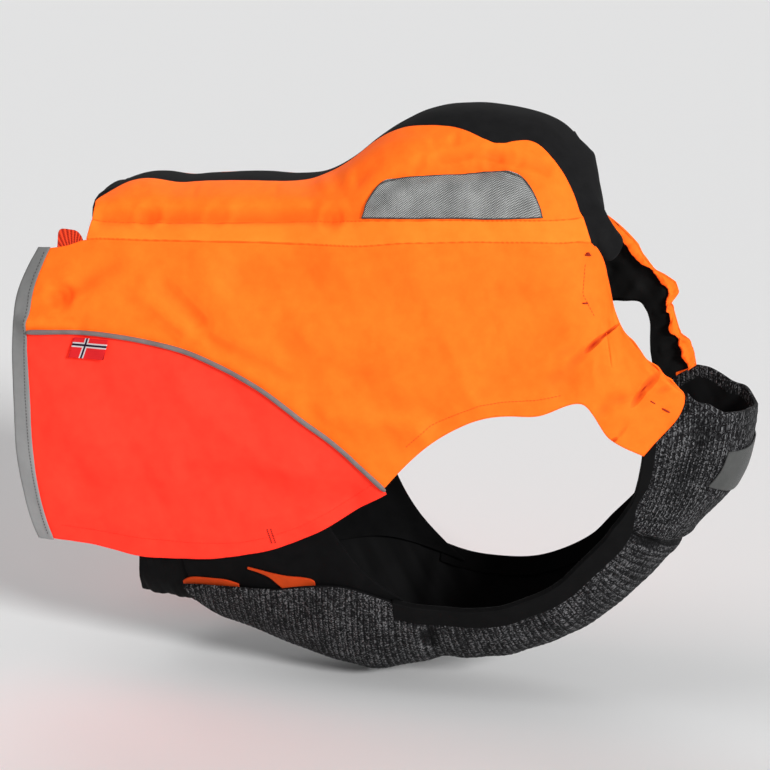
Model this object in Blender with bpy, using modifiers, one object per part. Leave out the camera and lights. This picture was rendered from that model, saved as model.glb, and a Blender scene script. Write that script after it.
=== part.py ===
"""Dog hunting vest, filled out as it is worn.

Metres, +Z up, +X towards the neck. The right side of the vest is at -Y, the left side at +Y.
The origin is on the dog's back, under the back strip.
"""

import math

import bmesh
import bpy
from mathutils import Vector

# Driving dimensions
SHELL_WALL = 0.0018
BAND_WALL = 0.0022
KNIT_WALL = 0.0026
LINING_WALL = 0.0010
TAPE_WALL = 0.0008
SEAM_GAP = 0.0003
PIPING_RADIUS = 0.0017
PIPING_FIRST_PLACE = 1.2
BINDING_WIDTH = 0.013
LINING_INSET = 0.007
LINING_LEG_INSET = 0.002
LINING_FIRST_PLACE = 1.4
FOLD_CLEARANCE = 0.005
LINING_FINE_ROW = 15
LINING_GAP = 0.0014
# Where the lining starts and ends: its share of the way from the back to the band, from the band
# to the piping at the rear, and from the piping to the hem, and its last place on the strap.
LINING_BACK_SHARE = 0.15
LINING_REAR_SHARE = 0.18
LINING_HEM_SHARE = 0.7
LINING_LAST_PLACE = 22.85
NECK_HEM_WIDTH = 0.011
BACK_LINE = 0.0032
ROUNDNESS = 2.5

# The body that the vest is cut for: one row for each section, from tail to neck. A section is a
# rounded oval that stands on the keel point and ends at the back point.
# Columns: back_x, back_z, keel_x, keel_z, half_width.
SECTIONS = (
    (-0.223, -0.046, -0.231, -0.288, 0.072),
    (-0.177, -0.027, -0.184, -0.291, 0.076),
    (-0.131, -0.014, -0.137, -0.303, 0.080),
    (-0.080, -0.008, -0.088, -0.3125, 0.083),
    (-0.036, -0.004, -0.045, -0.321, 0.085),
    (0.008, -0.003, 0.006, -0.337, 0.086),
    (0.037, 0.009, 0.056, -0.348, 0.086),
    (0.064, 0.030, 0.106, -0.339, 0.085),
    (0.090, 0.045, 0.153, -0.331, 0.083),
    (0.118, 0.051, 0.190, -0.318, 0.080),
    (0.146, 0.050, 0.222, -0.297, 0.077),
    (0.174, 0.044, 0.250, -0.269, 0.073),
    (0.190, 0.031, 0.284, -0.228, 0.067),
    (0.202, 0.018, 0.309, -0.199, 0.063),
    (0.210, 0.006, 0.318, -0.168, 0.061),
    (0.221, -0.006, 0.320, -0.146, 0.060),
    (0.230, -0.019, 0.320, -0.128, 0.058),
)

# Main side panel, one row for each grain line from the rear hem to the strap end: where the line
# starts at the band or neck edge, and where it ends at the piping or leg opening.
# Columns: top_x, top_z, bottom_x, bottom_z.
MAIN_RIGHT = (
    (-0.1705, -0.0520, -0.1848, -0.108),
    (-0.1622, -0.0512, -0.1745, -0.1075),
    (-0.1500, -0.0487, -0.1560, -0.106),
    (-0.136, -0.044, -0.134, -0.1045),
    (-0.112, -0.0425, -0.110, -0.105),
    (-0.084, -0.0413, -0.084, -0.1075),
    (-0.054, -0.0402, -0.056, -0.1123),
    (-0.022, -0.039, -0.028, -0.122),
    (0.012, -0.038, 0.000, -0.1355),
    (0.040, -0.037, 0.028, -0.1545),
    (0.064, -0.035, 0.056, -0.174),
    (0.091, -0.0317, 0.084, -0.197),
    (0.120, -0.0295, 0.110, -0.170),
    (0.148, -0.028, 0.136, -0.152),
    (0.174, -0.0274, 0.160, -0.1432),
    (0.199, -0.0271, 0.186, -0.1425),
    (0.218, -0.0273, 0.2036, -0.1356),
    (0.228, -0.040, 0.213, -0.1325),
    (0.233, -0.057, 0.220, -0.1354),
    (0.238, -0.076, 0.226, -0.144),
    (0.249, -0.092, 0.233, -0.155),
    (0.262, -0.106, 0.241, -0.161),
    (0.274, -0.1145, 0.249, -0.165),
    (0.2846, -0.1245, 0.257, -0.1686),
)
# The left strap is pulled forward and up, so its last rows differ.
LEFT_STRAP_FIRST_ROW = 13
LEFT_STRAP = (
    (0.148, -0.028, 0.136, -0.150),
    (0.169, -0.0274, 0.160, -0.138),
    (0.182, -0.0272, 0.176, -0.120),
    (0.194, -0.0280, 0.191, -0.104),
    (0.215, -0.0385, 0.204, -0.096),
    (0.234, -0.058, 0.217, -0.0935),
    (0.245, -0.069, 0.229, -0.0945),
    (0.254, -0.082, 0.2355, -0.103),
    (0.256, -0.099, 0.236, -0.118),
    (0.262, -0.115, 0.237, -0.133),
    (0.270, -0.135, 0.243, -0.155),
)
PIPING_END_ROW = 11
BAND_FIRST_ROW = 3
BAND_LAST_ROW = 16
MAIN_ROWS = 8
FLANK_ROWS = 5

# Back seam and upper edge of the band, one row for each grain line from BAND_FIRST_ROW on.
# back_y is how far the seam lies from the middle of the back.
# Columns: back_x, back_y, band_x, band_z.
TOP_SEAMS = (
    (-0.1362, 0.0335, -0.1345, -0.0325),
    (-0.1190, 0.0165, -0.1120, -0.0315),
    (-0.084, 0.016, -0.084, -0.0305),
    (-0.054, 0.018, -0.054, -0.029),
    (-0.022, 0.018, -0.022, -0.0272),
    (0.010, 0.015, 0.012, -0.0247),
    (0.036, 0.014, 0.038, -0.0218),
    (0.060, 0.016, 0.062, -0.0193),
    (0.090, 0.028, 0.090, -0.0172),
    (0.122, 0.036, 0.120, -0.0152),
    (0.149, 0.043, 0.147, -0.0143),
    (0.173, 0.036, 0.172, -0.0138),
    (0.197, 0.043, 0.195, -0.0128),
    (0.2080, 0.0520, 0.2115, -0.0118),
)

# On the left the front ends of these seams are pulled back.
LEFT_TOP_FIRST_ROW = 11
LEFT_TOP_SEAMS = (
    (0.168, 0.036, 0.167, -0.0138),
    (0.178, 0.042, 0.178, -0.0128),
    (0.183, 0.047, 0.187, -0.0125),
)

# How far the back strip's front corner stays off the main panel's edge.
SHOULDER_CLEARANCE = (0.0013, 0.0, 0.0011)

# Where the back strip meets the main panels' front corners, as shares of the way past the corner.
LEFT_SHOULDER_SHARE = 0.3
LEFT_NAPE_SHARE = 0.8
RIGHT_SHOULDER_SHARE = 0.02

# Where the last grain lines of the back strip cross the middle of the back, as stations.
NAPE_TOPS = (12.3, 12.6, 12.85, 13.1, 13.35)

# Free front edge of the back strip, from the right shoulder over the nape to the left shoulder.
# On the right it rounds a lobe that stands out in front of the shoulder.
# Columns: x, y, z.
NAPE = (
    (0.2334, -0.0620, -0.0348),
    (0.2374, -0.0592, -0.0297),
    (0.2378, -0.0515, -0.0250),
    (0.2334, -0.0420, -0.0214),
    (0.2270, -0.0340, -0.0184),
    (0.2200, -0.0220, -0.0138),
    (0.2135, -0.0060, -0.0052),
    (0.2080, 0.0120, 0.0034),
    (0.2038, 0.0280, 0.0046),
    (0.2008, 0.0440, -0.0006),
    (0.2010, 0.0530, -0.0104),
    (0.2023, 0.0590, -0.0207),
)

# Free hem of the flank panel, one row for each grain line up to PIPING_END_ROW.
# Columns: x, z.
HEM = (
    (-0.1745, -0.2585),
    (-0.1635, -0.2585),
    (-0.147, -0.2588),
    (-0.124, -0.2615),
    (-0.100, -0.2640),
    (-0.073, -0.2635),
    (-0.046, -0.2605),
    (-0.018, -0.2545),
    (0.008, -0.2465),
    (0.034, -0.2340),
    (0.060, -0.2175),
    (0.086, -0.2015),
)
REAR_HEM_BULGE = 0.003
MAIN_REAR_BULGE = 0.0036
REAR_BULGE_ROWS = 3
SECTION_STEP = 0.046

# Breast collar, one row for each line from the strap end to the middle of the breast.
# Columns: lip_x, lip_z, lower_x, lower_z.
COLLAR_RIGHT = (
    (0.2846, -0.1245, 0.2570, -0.1686),
    (0.2910, -0.1310, 0.2545, -0.1850),
    (0.2990, -0.1335, 0.2490, -0.2030),
    (0.3070, -0.1395, 0.2365, -0.2220),
    (0.3135, -0.1410, 0.2500, -0.2235),
    (0.3190, -0.1430, 0.2640, -0.2290),
)
COLLAR_LEFT = (
    (0.2700, -0.1350, 0.2430, -0.1550),
    (0.2790, -0.1355, 0.2470, -0.1780),
    (0.2890, -0.1395, 0.2440, -0.2030),
    (0.2990, -0.1430, 0.2365, -0.2220),
    (0.3080, -0.1440, 0.2500, -0.2235),
    (0.3150, -0.1490, 0.2640, -0.2290),
)
# Stations of the collar's lip and lower edge in the middle of the breast.
COLLAR_MIDDLE = (15.0, 11.82)
COLLAR_SEAM_ROW = 3

# Breastbone and belly panel, one row for each line from the collar seam to the rear: the rim at
# the leg opening, and the keel under the breastbone.
# Columns: rim_x, rim_z, keel_x.
BELLY = (
    (0.2365, -0.2235, 0.2795),
    (0.2260, -0.2360, 0.263),
    (0.2130, -0.2500, 0.243),
    (0.2010, -0.2630, 0.222),
    (0.1840, -0.2740, 0.196),
    (0.1630, -0.2830, 0.168),
    (0.1390, -0.2870, 0.140),
    (0.1120, -0.2870, 0.112),
    (0.0860, -0.2825, 0.085),
    (0.0600, -0.2745, 0.060),
    (0.0320, -0.2740, 0.036),
    (0.0040, -0.2800, 0.012),
    (-0.0220, -0.2820, -0.006),
    (-0.0480, -0.2838, -0.019),
    (-0.0695, -0.2860, -0.030),
)
BINDING_END_ROW = 9

# Side gusset, one row for each line from its free front edge to the rear, from under the flank
# panel to under the belly panel.
# Columns: top_x, top_z, middle_x, middle_z, bottom_x, bottom_z.
GUSSET = (
    (0.044, -0.228, 0.069, -0.264, 0.106, -0.293),
    (0.024, -0.238, 0.046, -0.266, 0.076, -0.286),
    (0.000, -0.243, 0.018, -0.264, 0.040, -0.281),
    (-0.024, -0.249, -0.014, -0.268, 0.000, -0.288),
    (-0.046, -0.253, -0.042, -0.270, -0.036, -0.292),
    (-0.066, -0.256, -0.066, -0.273, -0.062, -0.294),
)
GUSSET_LIFT = -0.0031

# Orange strip at the rear of the belly panel's upper edge, and the flap in front of it: how far
# their lower and upper edges stand above the rim.
# Columns: rim_x, rim_z, low, high.
EDGE_STRIP = (
    (-0.0700, -0.2860, -0.0030, 0.0008),
    (-0.0665, -0.2857, -0.0030, 0.0034),
    (-0.0590, -0.2849, -0.0030, 0.0048),
    (-0.0470, -0.2837, -0.0030, 0.0042),
    (-0.0360, -0.2828, -0.0030, 0.0038),
    (-0.0265, -0.2822, -0.0030, 0.0006),
)
EDGE_FLAP = (
    (-0.0175, -0.2817, 0.0143, 0.0160),
    (-0.0031, -0.2806, 0.0090, 0.0125),
    (0.0048, -0.2799, 0.0024, 0.0108),
    (0.0120, -0.2784, -0.0030, 0.0087),
    (0.0278, -0.2750, -0.0030, 0.0045),
    (0.0315, -0.2742, -0.0030, 0.0012),
)
EDGE_STRIP_LIFT = -0.0016

# Gathered rear belly piece, one row from its free rear edge forward to under the belly panel.
# Columns: top_x, top_z, keel_x, top_lift, keel_lift.
REAR_BELLY = (
    (-0.0980, -0.2560, -0.1150, -0.0020, -0.0014),
    (-0.0900, -0.2560, -0.1010, -0.0022, -0.0014),
    (-0.0800, -0.2565, -0.0830, -0.0046, -0.0014),
    (-0.0600, -0.2570, -0.0540, -0.0052, -0.0018),
    (-0.0420, -0.2560, -0.0180, -0.0054, -0.0022),
)
REAR_BELLY_WAVE = 0.0008
REAR_BELLY_SIDE_SHARE = 0.65

# Reflective mesh patch above the band, one row for each line from its rear end to its front end.
# Columns: top_x, top_z, bottom_x, bottom_z.
MESH_PATCH = (
    (0.0665, -0.0080, 0.0635, -0.0178),
    (0.0745, 0.0045, 0.0740, -0.0170),
    (0.0860, 0.0092, 0.0870, -0.0162),
    (0.1100, 0.0130, 0.1100, -0.0147),
    (0.1350, 0.0157, 0.1350, -0.0137),
    (0.1570, 0.0174, 0.1580, -0.0133),
    (0.1705, 0.0135, 0.1720, -0.0127),
    (0.1795, 0.0030, 0.1800, -0.0122),
    (0.1845, -0.0060, 0.1865, -0.0118),
)

# Pull loop: ribbed elastic doubled flat, standing up behind the main panel's upper edge. One row
# for each line from its rear edge to its front edge.
# Columns: bottom_x, bottom_z, top_x, top_z.
LOOP = (
    (-0.1585, -0.0536, -0.1608, -0.0405),
    (-0.1550, -0.0534, -0.1588, -0.0382),
    (-0.1510, -0.0526, -0.1537, -0.0380),
    (-0.1471, -0.0518, -0.1484, -0.0381),
    (-0.1436, -0.0510, -0.1447, -0.0393),
    (-0.1402, -0.0498, -0.1415, -0.0424),
)
LOOP_WALL = 0.0022

# Soft folds in every layer, as troughs (depth below zero) or ridges along a line. side is -1 on
# the right, 1 on the left and 0 on both.
# Columns: side, start_x, start_z, end_x, end_z, width, depth.
FOLDS = (
    (-1, 0.238, -0.077, 0.209, -0.101, 0.010, -0.0040),
    (-1, 0.262, -0.109, 0.244, -0.134, 0.007, -0.0035),
    (-1, 0.235, -0.088, 0.200, -0.118, 0.012, 0.0025),
    (1, 0.254, -0.084, 0.234, -0.098, 0.008, -0.0035),
    (1, 0.262, -0.112, 0.240, -0.128, 0.007, -0.0035),
    (0, -0.109, -0.022, -0.108, 0.004, 0.024, 0.0042),
    (0, 0.120, -0.075, -0.040, -0.060, 0.030, -0.0025),
    (0, 0.140, -0.120, 0.020, -0.095, 0.028, 0.0022),
    (0, 0.110, -0.150, 0.040, -0.130, 0.020, -0.0022),
    (0, -0.060, -0.140, -0.150, -0.200, 0.026, 0.0025),
    (0, 0.000, -0.200, -0.120, -0.235, 0.024, -0.0028),
    (0, 0.108, -0.345, 0.122, -0.292, 0.018, -0.0026),
    (0, 0.060, -0.350, 0.072, -0.290, 0.018, 0.0020),
    (0, 0.150, -0.335, 0.162, -0.292, 0.018, 0.0018),
)

# How far a fold runs on past its ends, as a share of its length.
FOLD_REACH = 0.25

# Breast patch, one row for each line from its side edge to the middle of the breast.
# Columns: turn, low_station, high_station.
BREAST_PATCH = (
    (-56.0, 12.71, 13.556),
    (-64.5, 12.84, 13.72),
    (-73.0, 12.92, 13.84),
    (-81.5, 12.96, 13.90),
    (-90.0, 12.97, 13.917),
)
LABEL = {"x": -0.1385, "z": -0.1080, "width": 0.026, "height": 0.0140, "slant": -0.0035,
         "stand_off": 0.0012}
LAYER_GAP = 0.0006
# Waves of the turned-in neck hem: how many, over how many rows, and how far they push its edges.
NECK_WAVES = 6.0
NECK_WAVE_ROWS = 3.5
NECK_HEM_OUT = 0.0020
NECK_HEM_NARROWEST = 0.7
NECK_HEM_MIDDLE_LIFT = -0.0038
NECK_HEM_MIDDLE_WAVE = 0.0008
NECK_HEM_INNER_LIFT = -0.0050
NECK_HEM_INNER_WAVE = 0.0016
PIPING_FLATNESS = 0.75

# Colour and surface of each material: red, green, blue, roughness, metallic.
COLOURS = {
    "orange_shell": (1.0, 0.19, 0.02, 0.55, 0.0),
    "red_shell": (1.0, 0.05, 0.03, 0.55, 0.0),
    "black_stretch": (0.012, 0.012, 0.013, 0.60, 0.0),
    "black_lining": (0.006, 0.006, 0.006, 0.75, 0.0),
    "black_binding": (0.010, 0.010, 0.010, 0.50, 0.0),
    "grey_knit": (0.045, 0.045, 0.047, 0.85, 0.0),
    "reflective_tape": (0.30, 0.30, 0.30, 0.45, 0.1),
    "reflective_mesh": (0.25, 0.25, 0.25, 0.50, 0.1),
    "label_weave": (0.70, 0.02, 0.03, 0.70, 0.0),
    "loop_elastic": (0.90, 0.08, 0.02, 0.70, 0.0),
}


def clear_scene():
    for old in list(bpy.data.objects):
        bpy.data.objects.remove(old, do_unlink=True)


def smooth_row(rows, place):
    """A row between the table's rows, on a smooth curve through all of them."""
    last = len(rows) - 1
    place = min(max(place, 0.0), float(last))
    first = min(int(place), last - 1)
    part = place - first
    before = rows[max(first - 1, 0)]
    after = rows[min(first + 2, last)]
    result = []
    for a, b, c, d in zip(before, rows[first], rows[first + 1], after):
        bend = 2 * a - 5 * b + 4 * c - d + part * (3 * (b - c) + d - a)
        result.append(b + 0.5 * part * (c - a + part * bend))
    return result


def body_point(station, turn):
    """A point on the body. turn is in degrees: -90 keel, 0 right side, 90 back, 180 left side."""
    back_x, back_z, keel_x, keel_z, half_width = smooth_row(SECTIONS, station)
    cosine = math.cos(math.radians(turn))
    sine = math.sin(math.radians(turn))
    power = 2.0 / ROUNDNESS
    across = -half_width * math.copysign(abs(cosine) ** power, cosine)
    up = math.copysign(abs(sine) ** power, sine)
    x = (back_x + keel_x + (back_x - keel_x) * up) / 2
    z = (back_z + keel_z + (back_z - keel_z) * up) / 2
    return Vector((x, across, z + BACK_LINE))


def body_normal(station, turn):
    """The outward direction of the body there."""
    along = body_point(station + 0.05, turn) - body_point(station - 0.05, turn)
    around = body_point(station, turn + 1.5) - body_point(station, turn - 1.5)
    return along.cross(around).normalized()


def fold_height(point, side):
    """How far the folds lift the cloth at a point of that side."""
    height = 0.0
    for fold_side, start_x, start_z, end_x, end_z, width, depth in FOLDS:
        if fold_side * side < 0:
            continue
        line = Vector((end_x - start_x, end_z - start_z))
        offset = Vector((point.x - start_x, point.z - BACK_LINE - start_z))
        part = offset.dot(line) / line.length_squared
        away = abs(offset.x * line.y - offset.y * line.x) / line.length
        if away < width and -FOLD_REACH < part < 1 + FOLD_REACH:
            across = 0.5 + 0.5 * math.cos(math.pi * away / width)
            ends = math.sin(math.pi * (part + FOLD_REACH) / (1 + 2 * FOLD_REACH))
            height += depth * across * ends
    return height


def cloth_point(spot, lift):
    """The cloth over a spot (station, turn) of the body, moved out by lift."""
    station, turn = spot
    point = body_point(station, turn)
    side = -1 if math.cos(math.radians(turn)) > 0 else 1
    return point + body_normal(station, turn) * (lift + fold_height(point, side))


def under_folds(spot, lift):
    """A point like cloth_point, but clear of every fold close by."""
    station, turn = spot
    point = body_point(station, turn)
    side = -1 if math.cos(math.radians(turn)) > 0 else 1
    reach = FOLD_CLEARANCE
    lowest = min(
        fold_height(point + Vector((along, 0.0, up)), side)
        for along in (-reach, 0.0, reach) for up in (-reach, 0.0, reach)
    )
    return point + body_normal(station, turn) * (lift + min(lowest, 0.0))


def locate(x, z, side):
    """The spot (station, turn) on that side whose place in the side view is x, z."""
    low = 0.0
    high = len(SECTIONS) - 1.0
    for _ in range(40):
        station = (low + high) / 2
        back_x, back_z, keel_x, keel_z, _width = smooth_row(SECTIONS, station)
        ahead = (keel_x - back_x) * (z - back_z) - (keel_z - back_z) * (x - back_x)
        if ahead > 0:
            low = station
        else:
            high = station
    tall = Vector((back_x - keel_x, back_z - keel_z))
    height = 2 * Vector((x - keel_x, z - keel_z)).dot(tall) / tall.length_squared - 1
    height = min(max(height, -0.9999), 0.9999)
    turn = math.degrees(math.asin(math.copysign(abs(height) ** (ROUNDNESS / 2), height)))
    return station, turn if side < 0 else 180 - turn


def locate_on_back(x, y, side):
    """The spot beside the middle of the back that lies at x and y."""
    low = 0.0
    high = len(SECTIONS) - 1.0
    for _ in range(40):
        station = (low + high) / 2
        half_width = smooth_row(SECTIONS, station)[-1]
        turn = math.degrees(math.acos(min(y / half_width, 1.0) ** (ROUNDNESS / 2)))
        if body_point(station, turn).x < x:
            low = station
        else:
            high = station
    return station, turn if side < 0 else 180 - turn


def between(first, second, part):
    """The spot part of the way from the first spot to the second."""
    return tuple(a + (b - a) * part for a, b in zip(first, second))


def material(name):
    found = bpy.data.materials.get(name)
    if found:
        return found
    red, green, blue, roughness, metallic = COLOURS[name]
    made = bpy.data.materials.new(name)
    made.use_nodes = True
    shader = made.node_tree.nodes["Principled BSDF"]
    shader.inputs["Base Color"].default_value = (red, green, blue, 1.0)
    shader.inputs["Roughness"].default_value = roughness
    shader.inputs["Metallic"].default_value = metallic
    made.diffuse_color = (red, green, blue, 1.0)
    return made


def pull_in(points, gap):
    """Draws the border of a grid of points in by half a seam gap, so that neighbours stay apart."""
    columns = [list(column) for column in points]
    for first, second in ((0, 1), (-1, -2)):
        for place, point in enumerate(columns[first]):
            inward = (columns[second][place] - point).normalized()
            columns[first][place] = point + inward * gap / 2
    for column in columns:
        for first, second in ((0, 1), (-1, -2)):
            inward = (column[second] - column[first]).normalized()
            column[first] = column[first] + inward * gap / 2
    return columns


def shell(name, points, wall, finish, outward, collection, gap=SEAM_GAP):
    """A wall of cloth over a grid of points, thickened away from the body."""
    columns = pull_in(points, gap)
    grid = bmesh.new()
    bmesh.ops.create_grid(grid, x_segments=len(columns) - 1, y_segments=len(columns[0]) - 1, size=1.0)
    grid.verts.ensure_lookup_table()
    for index, vertex in enumerate(grid.verts):
        row, column = divmod(index, len(columns))
        vertex.co = columns[column][row]
    middle = grid.faces[:][len(grid.faces) // 2]
    middle.normal_update()
    if middle.normal.dot(outward(middle.calc_center_median())) < 0:
        bmesh.ops.reverse_faces(grid, faces=grid.faces[:])
    mesh = bpy.data.meshes.new(name)
    grid.to_mesh(mesh)
    grid.free()
    mesh.materials.append(material(finish))
    mesh.shade_smooth()
    made = bpy.data.objects.new(name, mesh)
    collection.objects.link(made)
    thick = made.modifiers.new("wall", "SOLIDIFY")
    thick.thickness = wall
    thick.offset = 1.0
    return made


def away_from_axis(point):
    """Outward direction for most pieces: away from the middle of the body's section."""
    station = locate(point.x, point.z - BACK_LINE, -1)[0]
    back_x, back_z, keel_x, keel_z, _width = smooth_row(SECTIONS, station)
    centre = Vector(((back_x + keel_x) / 2, 0.0, (back_z + keel_z) / 2 + BACK_LINE))
    return point - centre


def spots_to_points(spots, lift):
    return [[cloth_point(spot, lift) for spot in column] for column in spots]


def main_rows(side):
    if side < 0:
        return MAIN_RIGHT
    return MAIN_RIGHT[:LEFT_STRAP_FIRST_ROW] + LEFT_STRAP


def main_top(side, place):
    row = smooth_row(main_rows(side), place)
    return locate(row[0], row[1], side)


def main_bottom(side, place):
    rows = main_rows(side)
    if place <= PIPING_END_ROW:
        row = smooth_row(rows[:PIPING_END_ROW + 1], place)
    else:
        row = smooth_row(rows[PIPING_END_ROW:], place - PIPING_END_ROW)
    return locate(row[2], row[3], side)


def places(first, last, steps):
    """Places along a table from its row first to its row last, steps to a row."""
    count = round((last - first) * steps)
    return [first + index / steps for index in range(count + 1)]


def fill(edge_a, edge_b, rows):
    """Columns of spots from each spot of one edge to the matching spot of the other."""
    return [
        [between(start, end, row / rows) for row in range(rows + 1)]
        for start, end in zip(edge_a, edge_b)
    ]


def rear_bulge(size, place, part):
    """How far the rear edge of a side panel is drawn out, in stations. part runs down the edge."""
    return size / SECTION_STEP * max(0.0, 1 - place / REAR_BULGE_ROWS) * math.sin(math.pi * part)


def main_spots(side, along):
    """Columns of spots of the main panel at those places along it."""
    top = [main_top(side, place) for place in along]
    bottom = [main_bottom(side, place) for place in along]
    columns = fill(top, bottom, MAIN_ROWS)
    for place, column in zip(along, columns):
        for row, (station, turn) in enumerate(column):
            column[row] = (station - rear_bulge(MAIN_REAR_BULGE, place, row / MAIN_ROWS), turn)
    return columns


def make_main_panel(side, label, collection):
    points = spots_to_points(main_spots(side, places(0, len(MAIN_RIGHT) - 1, 2)), 0.0)
    shell("main_panel_" + label, points, SHELL_WALL, "orange_shell", away_from_axis, collection)


def band_edges(side):
    along = places(BAND_FIRST_ROW, BAND_LAST_ROW, 2)
    seams = TOP_SEAMS if side < 0 else TOP_SEAMS[:LEFT_TOP_FIRST_ROW] + LEFT_TOP_SEAMS
    top_rows = [smooth_row(seams, place - BAND_FIRST_ROW) for place in along]
    back = [locate_on_back(row[0], row[1], side) for row in top_rows]
    upper = [locate(row[2], row[3], side) for row in top_rows]
    lower = [main_top(side, place) for place in along]
    return back, upper, lower


def make_upper_panel(side, label, collection):
    back, upper, _lower = band_edges(side)
    points = spots_to_points(fill(back, upper, 4), 0.0)
    shell("upper_panel_" + label, points, SHELL_WALL, "orange_shell", away_from_axis, collection)


def make_band(side, label, collection):
    _back, upper, lower = band_edges(side)
    points = spots_to_points(fill(upper, lower, 1), 0.0)
    shell("zip_band_" + label, points, BAND_WALL, "orange_shell", away_from_axis, collection)


def flank_spots(side):
    """Columns of spots of the flank panel, whose rear edge is drawn out in a shallow curve."""
    columns = []
    for place in places(0, PIPING_END_ROW, 2):
        top = main_bottom(side, place)
        hem = locate(*smooth_row(HEM, place), side)
        column = []
        for row in range(FLANK_ROWS + 1):
            station, turn = between(top, hem, row / FLANK_ROWS)
            column.append((station - rear_bulge(REAR_HEM_BULGE, place, row / FLANK_ROWS), turn))
        columns.append(column)
    return columns


def make_flank_panel(side, label, collection):
    points = spots_to_points(flank_spots(side), 0.0)
    shell("flank_panel_" + label, points, SHELL_WALL, "red_shell", away_from_axis, collection)


def back_strip_edge(side):
    """One edge of the back strip, from the rear to the end of the band."""
    back, upper, lower = band_edges(side)
    shoulder = main_top(side, BAND_LAST_ROW + 0.5)
    if side > 0:
        return back + [upper[-1], lower[-1], between(lower[-1], shoulder, LEFT_SHOULDER_SHARE)]
    near_nape = between(shoulder, (NAPE_TOPS[-1], 90.0), RIGHT_SHOULDER_SHARE)
    return back + [upper[-1], lower[-1], near_nape]


def make_back_strip(collection):
    """The strip fills the gap between the upper panels and ends in the free nape edge."""
    rows = 5
    columns = []
    edges = list(zip(back_strip_edge(-1), back_strip_edge(1)))
    tops = [near[0] for near, far in edges[:-len(NAPE_TOPS)]] + list(NAPE_TOPS)
    for (near, far), top_station in zip(edges, tops):
        top = (top_station, 90.0)
        spots = [between(near, top, row / rows) for row in range(rows)]
        spots += [between(top, far, row / rows) for row in range(rows + 1)]
        columns.append([cloth_point(spot, 0.0) for spot in spots])
    first = cloth_point(main_top(-1, BAND_LAST_ROW + 1), 0.0) + Vector(SHOULDER_CLEARANCE)
    left_corner = main_top(1, BAND_LAST_ROW)
    last_main = between(left_corner, main_top(1, BAND_LAST_ROW + 0.5), LEFT_NAPE_SHARE)
    nape = [tuple(first)] + list(NAPE) + [tuple(cloth_point(last_main, 0.0))]
    steps = (len(nape) - 1) / (2 * rows)
    edge = [Vector(smooth_row(nape, row * steps)) for row in range(2 * rows + 1)]
    columns.append([(start + end) / 2 for start, end in zip(columns[-1], edge)])
    columns.append(edge)
    shell("back_strip", columns, SHELL_WALL, "black_stretch", away_from_axis, collection, 3 * SEAM_GAP)


def make_piping(side, label, collection):
    """A thin flattened cord that lies on the seam above the flank panel."""
    lift = SHELL_WALL + SEAM_GAP + PIPING_RADIUS
    along = [PIPING_FIRST_PLACE] + places(2, PIPING_END_ROW, 2)
    seam = [cloth_point(main_bottom(side, place), lift) for place in along]
    sides = 6
    cord = bmesh.new()
    rings = []
    for index, point in enumerate(seam):
        along = seam[min(index + 1, len(seam) - 1)] - seam[max(index - 1, 0)]
        across = along.cross(away_from_axis(point)).normalized() * PIPING_RADIUS
        out = across.cross(along).normalized() * PIPING_RADIUS * PIPING_FLATNESS
        ring = []
        for step in range(sides):
            angle = 2 * math.pi * (step + 0.5) / sides
            ring.append(cord.verts.new(point + across * math.cos(angle) + out * math.sin(angle)))
        rings.append(ring)
    for first, second in zip(rings, rings[1:]):
        for step in range(sides):
            following = (step + 1) % sides
            cord.faces.new((first[step], first[following], second[following], second[step]))
    cord.faces.new(rings[0])
    cord.faces.new(rings[-1])
    bmesh.ops.recalc_face_normals(cord, faces=cord.faces[:])
    mesh = bpy.data.meshes.new("piping_" + label)
    cord.to_mesh(mesh)
    cord.free()
    mesh.materials.append(material("reflective_tape"))
    mesh.shade_smooth()
    collection.objects.link(bpy.data.objects.new("piping_" + label, mesh))


def make_folded_strip(name, lines, wall_in_fold, finish, collection):
    """A strip folded round an edge of cloth. Each line has (point, normal) pairs from the edge in."""
    outer = wall_in_fold + LAYER_GAP
    inner = -LAYER_GAP
    columns = []
    middles = []
    for line in lines:
        outside = [point + normal * outer for point, normal in line]
        inside = [point + normal * inner for point, normal in line]
        clear = (outside[0] - outside[1]).normalized() * LAYER_GAP
        column = list(reversed(outside))
        column[-1] = column[-1] + clear
        column.append(inside[0] + clear)
        column += inside[1:]
        columns.append(column)
        middles.append((outside[-1] + inside[-1]) / 2)

    def away_from_fold(point):
        nearest = min(middles, key=lambda middle: (middle - point).length)
        return point - nearest

    shell(name, columns, TAPE_WALL, finish, away_from_fold, collection)


def on_cloth(spots):
    """Point and normal of the cloth at each spot."""
    return [(cloth_point(spot, 0.0), body_normal(*spot)) for spot in spots]


def along_facets(spots, reach):
    """Three (point, normal) pairs at the start, middle and end of reach on the facets' line."""
    facets = on_cloth(spots)
    result = []
    for distance in (0.0, reach / 2, reach):
        for (start, start_normal), (end, end_normal) in zip(facets, facets[1:]):
            length = (end - start).length
            if distance <= length:
                break
            distance -= length
        part = distance / length
        result.append((start.lerp(end, part), start_normal.lerp(end_normal, part).normalized()))
    return result


def make_rear_tape(side, label, collection):
    main_columns = main_spots(side, places(0, 1, 2))
    flank_columns = flank_spots(side)
    lines = []
    for row in range(MAIN_ROWS + 1):
        lines.append(on_cloth([main_columns[column][row] for column in range(3)]))
    for row in range(1, FLANK_ROWS + 1):
        lines.append(on_cloth([flank_columns[column][row] for column in range(3)]))
    make_folded_strip("rear_tape_" + label, lines, SHELL_WALL, "reflective_tape", collection)


def spot_station(column, x):
    """The station where that column of SECTIONS, which grows forward, has the value x."""
    low = 0.0
    high = len(SECTIONS) - 1.0
    for _ in range(40):
        station = (low + high) / 2
        if smooth_row(SECTIONS, station)[column] < x:
            low = station
        else:
            high = station
    return station


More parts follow.
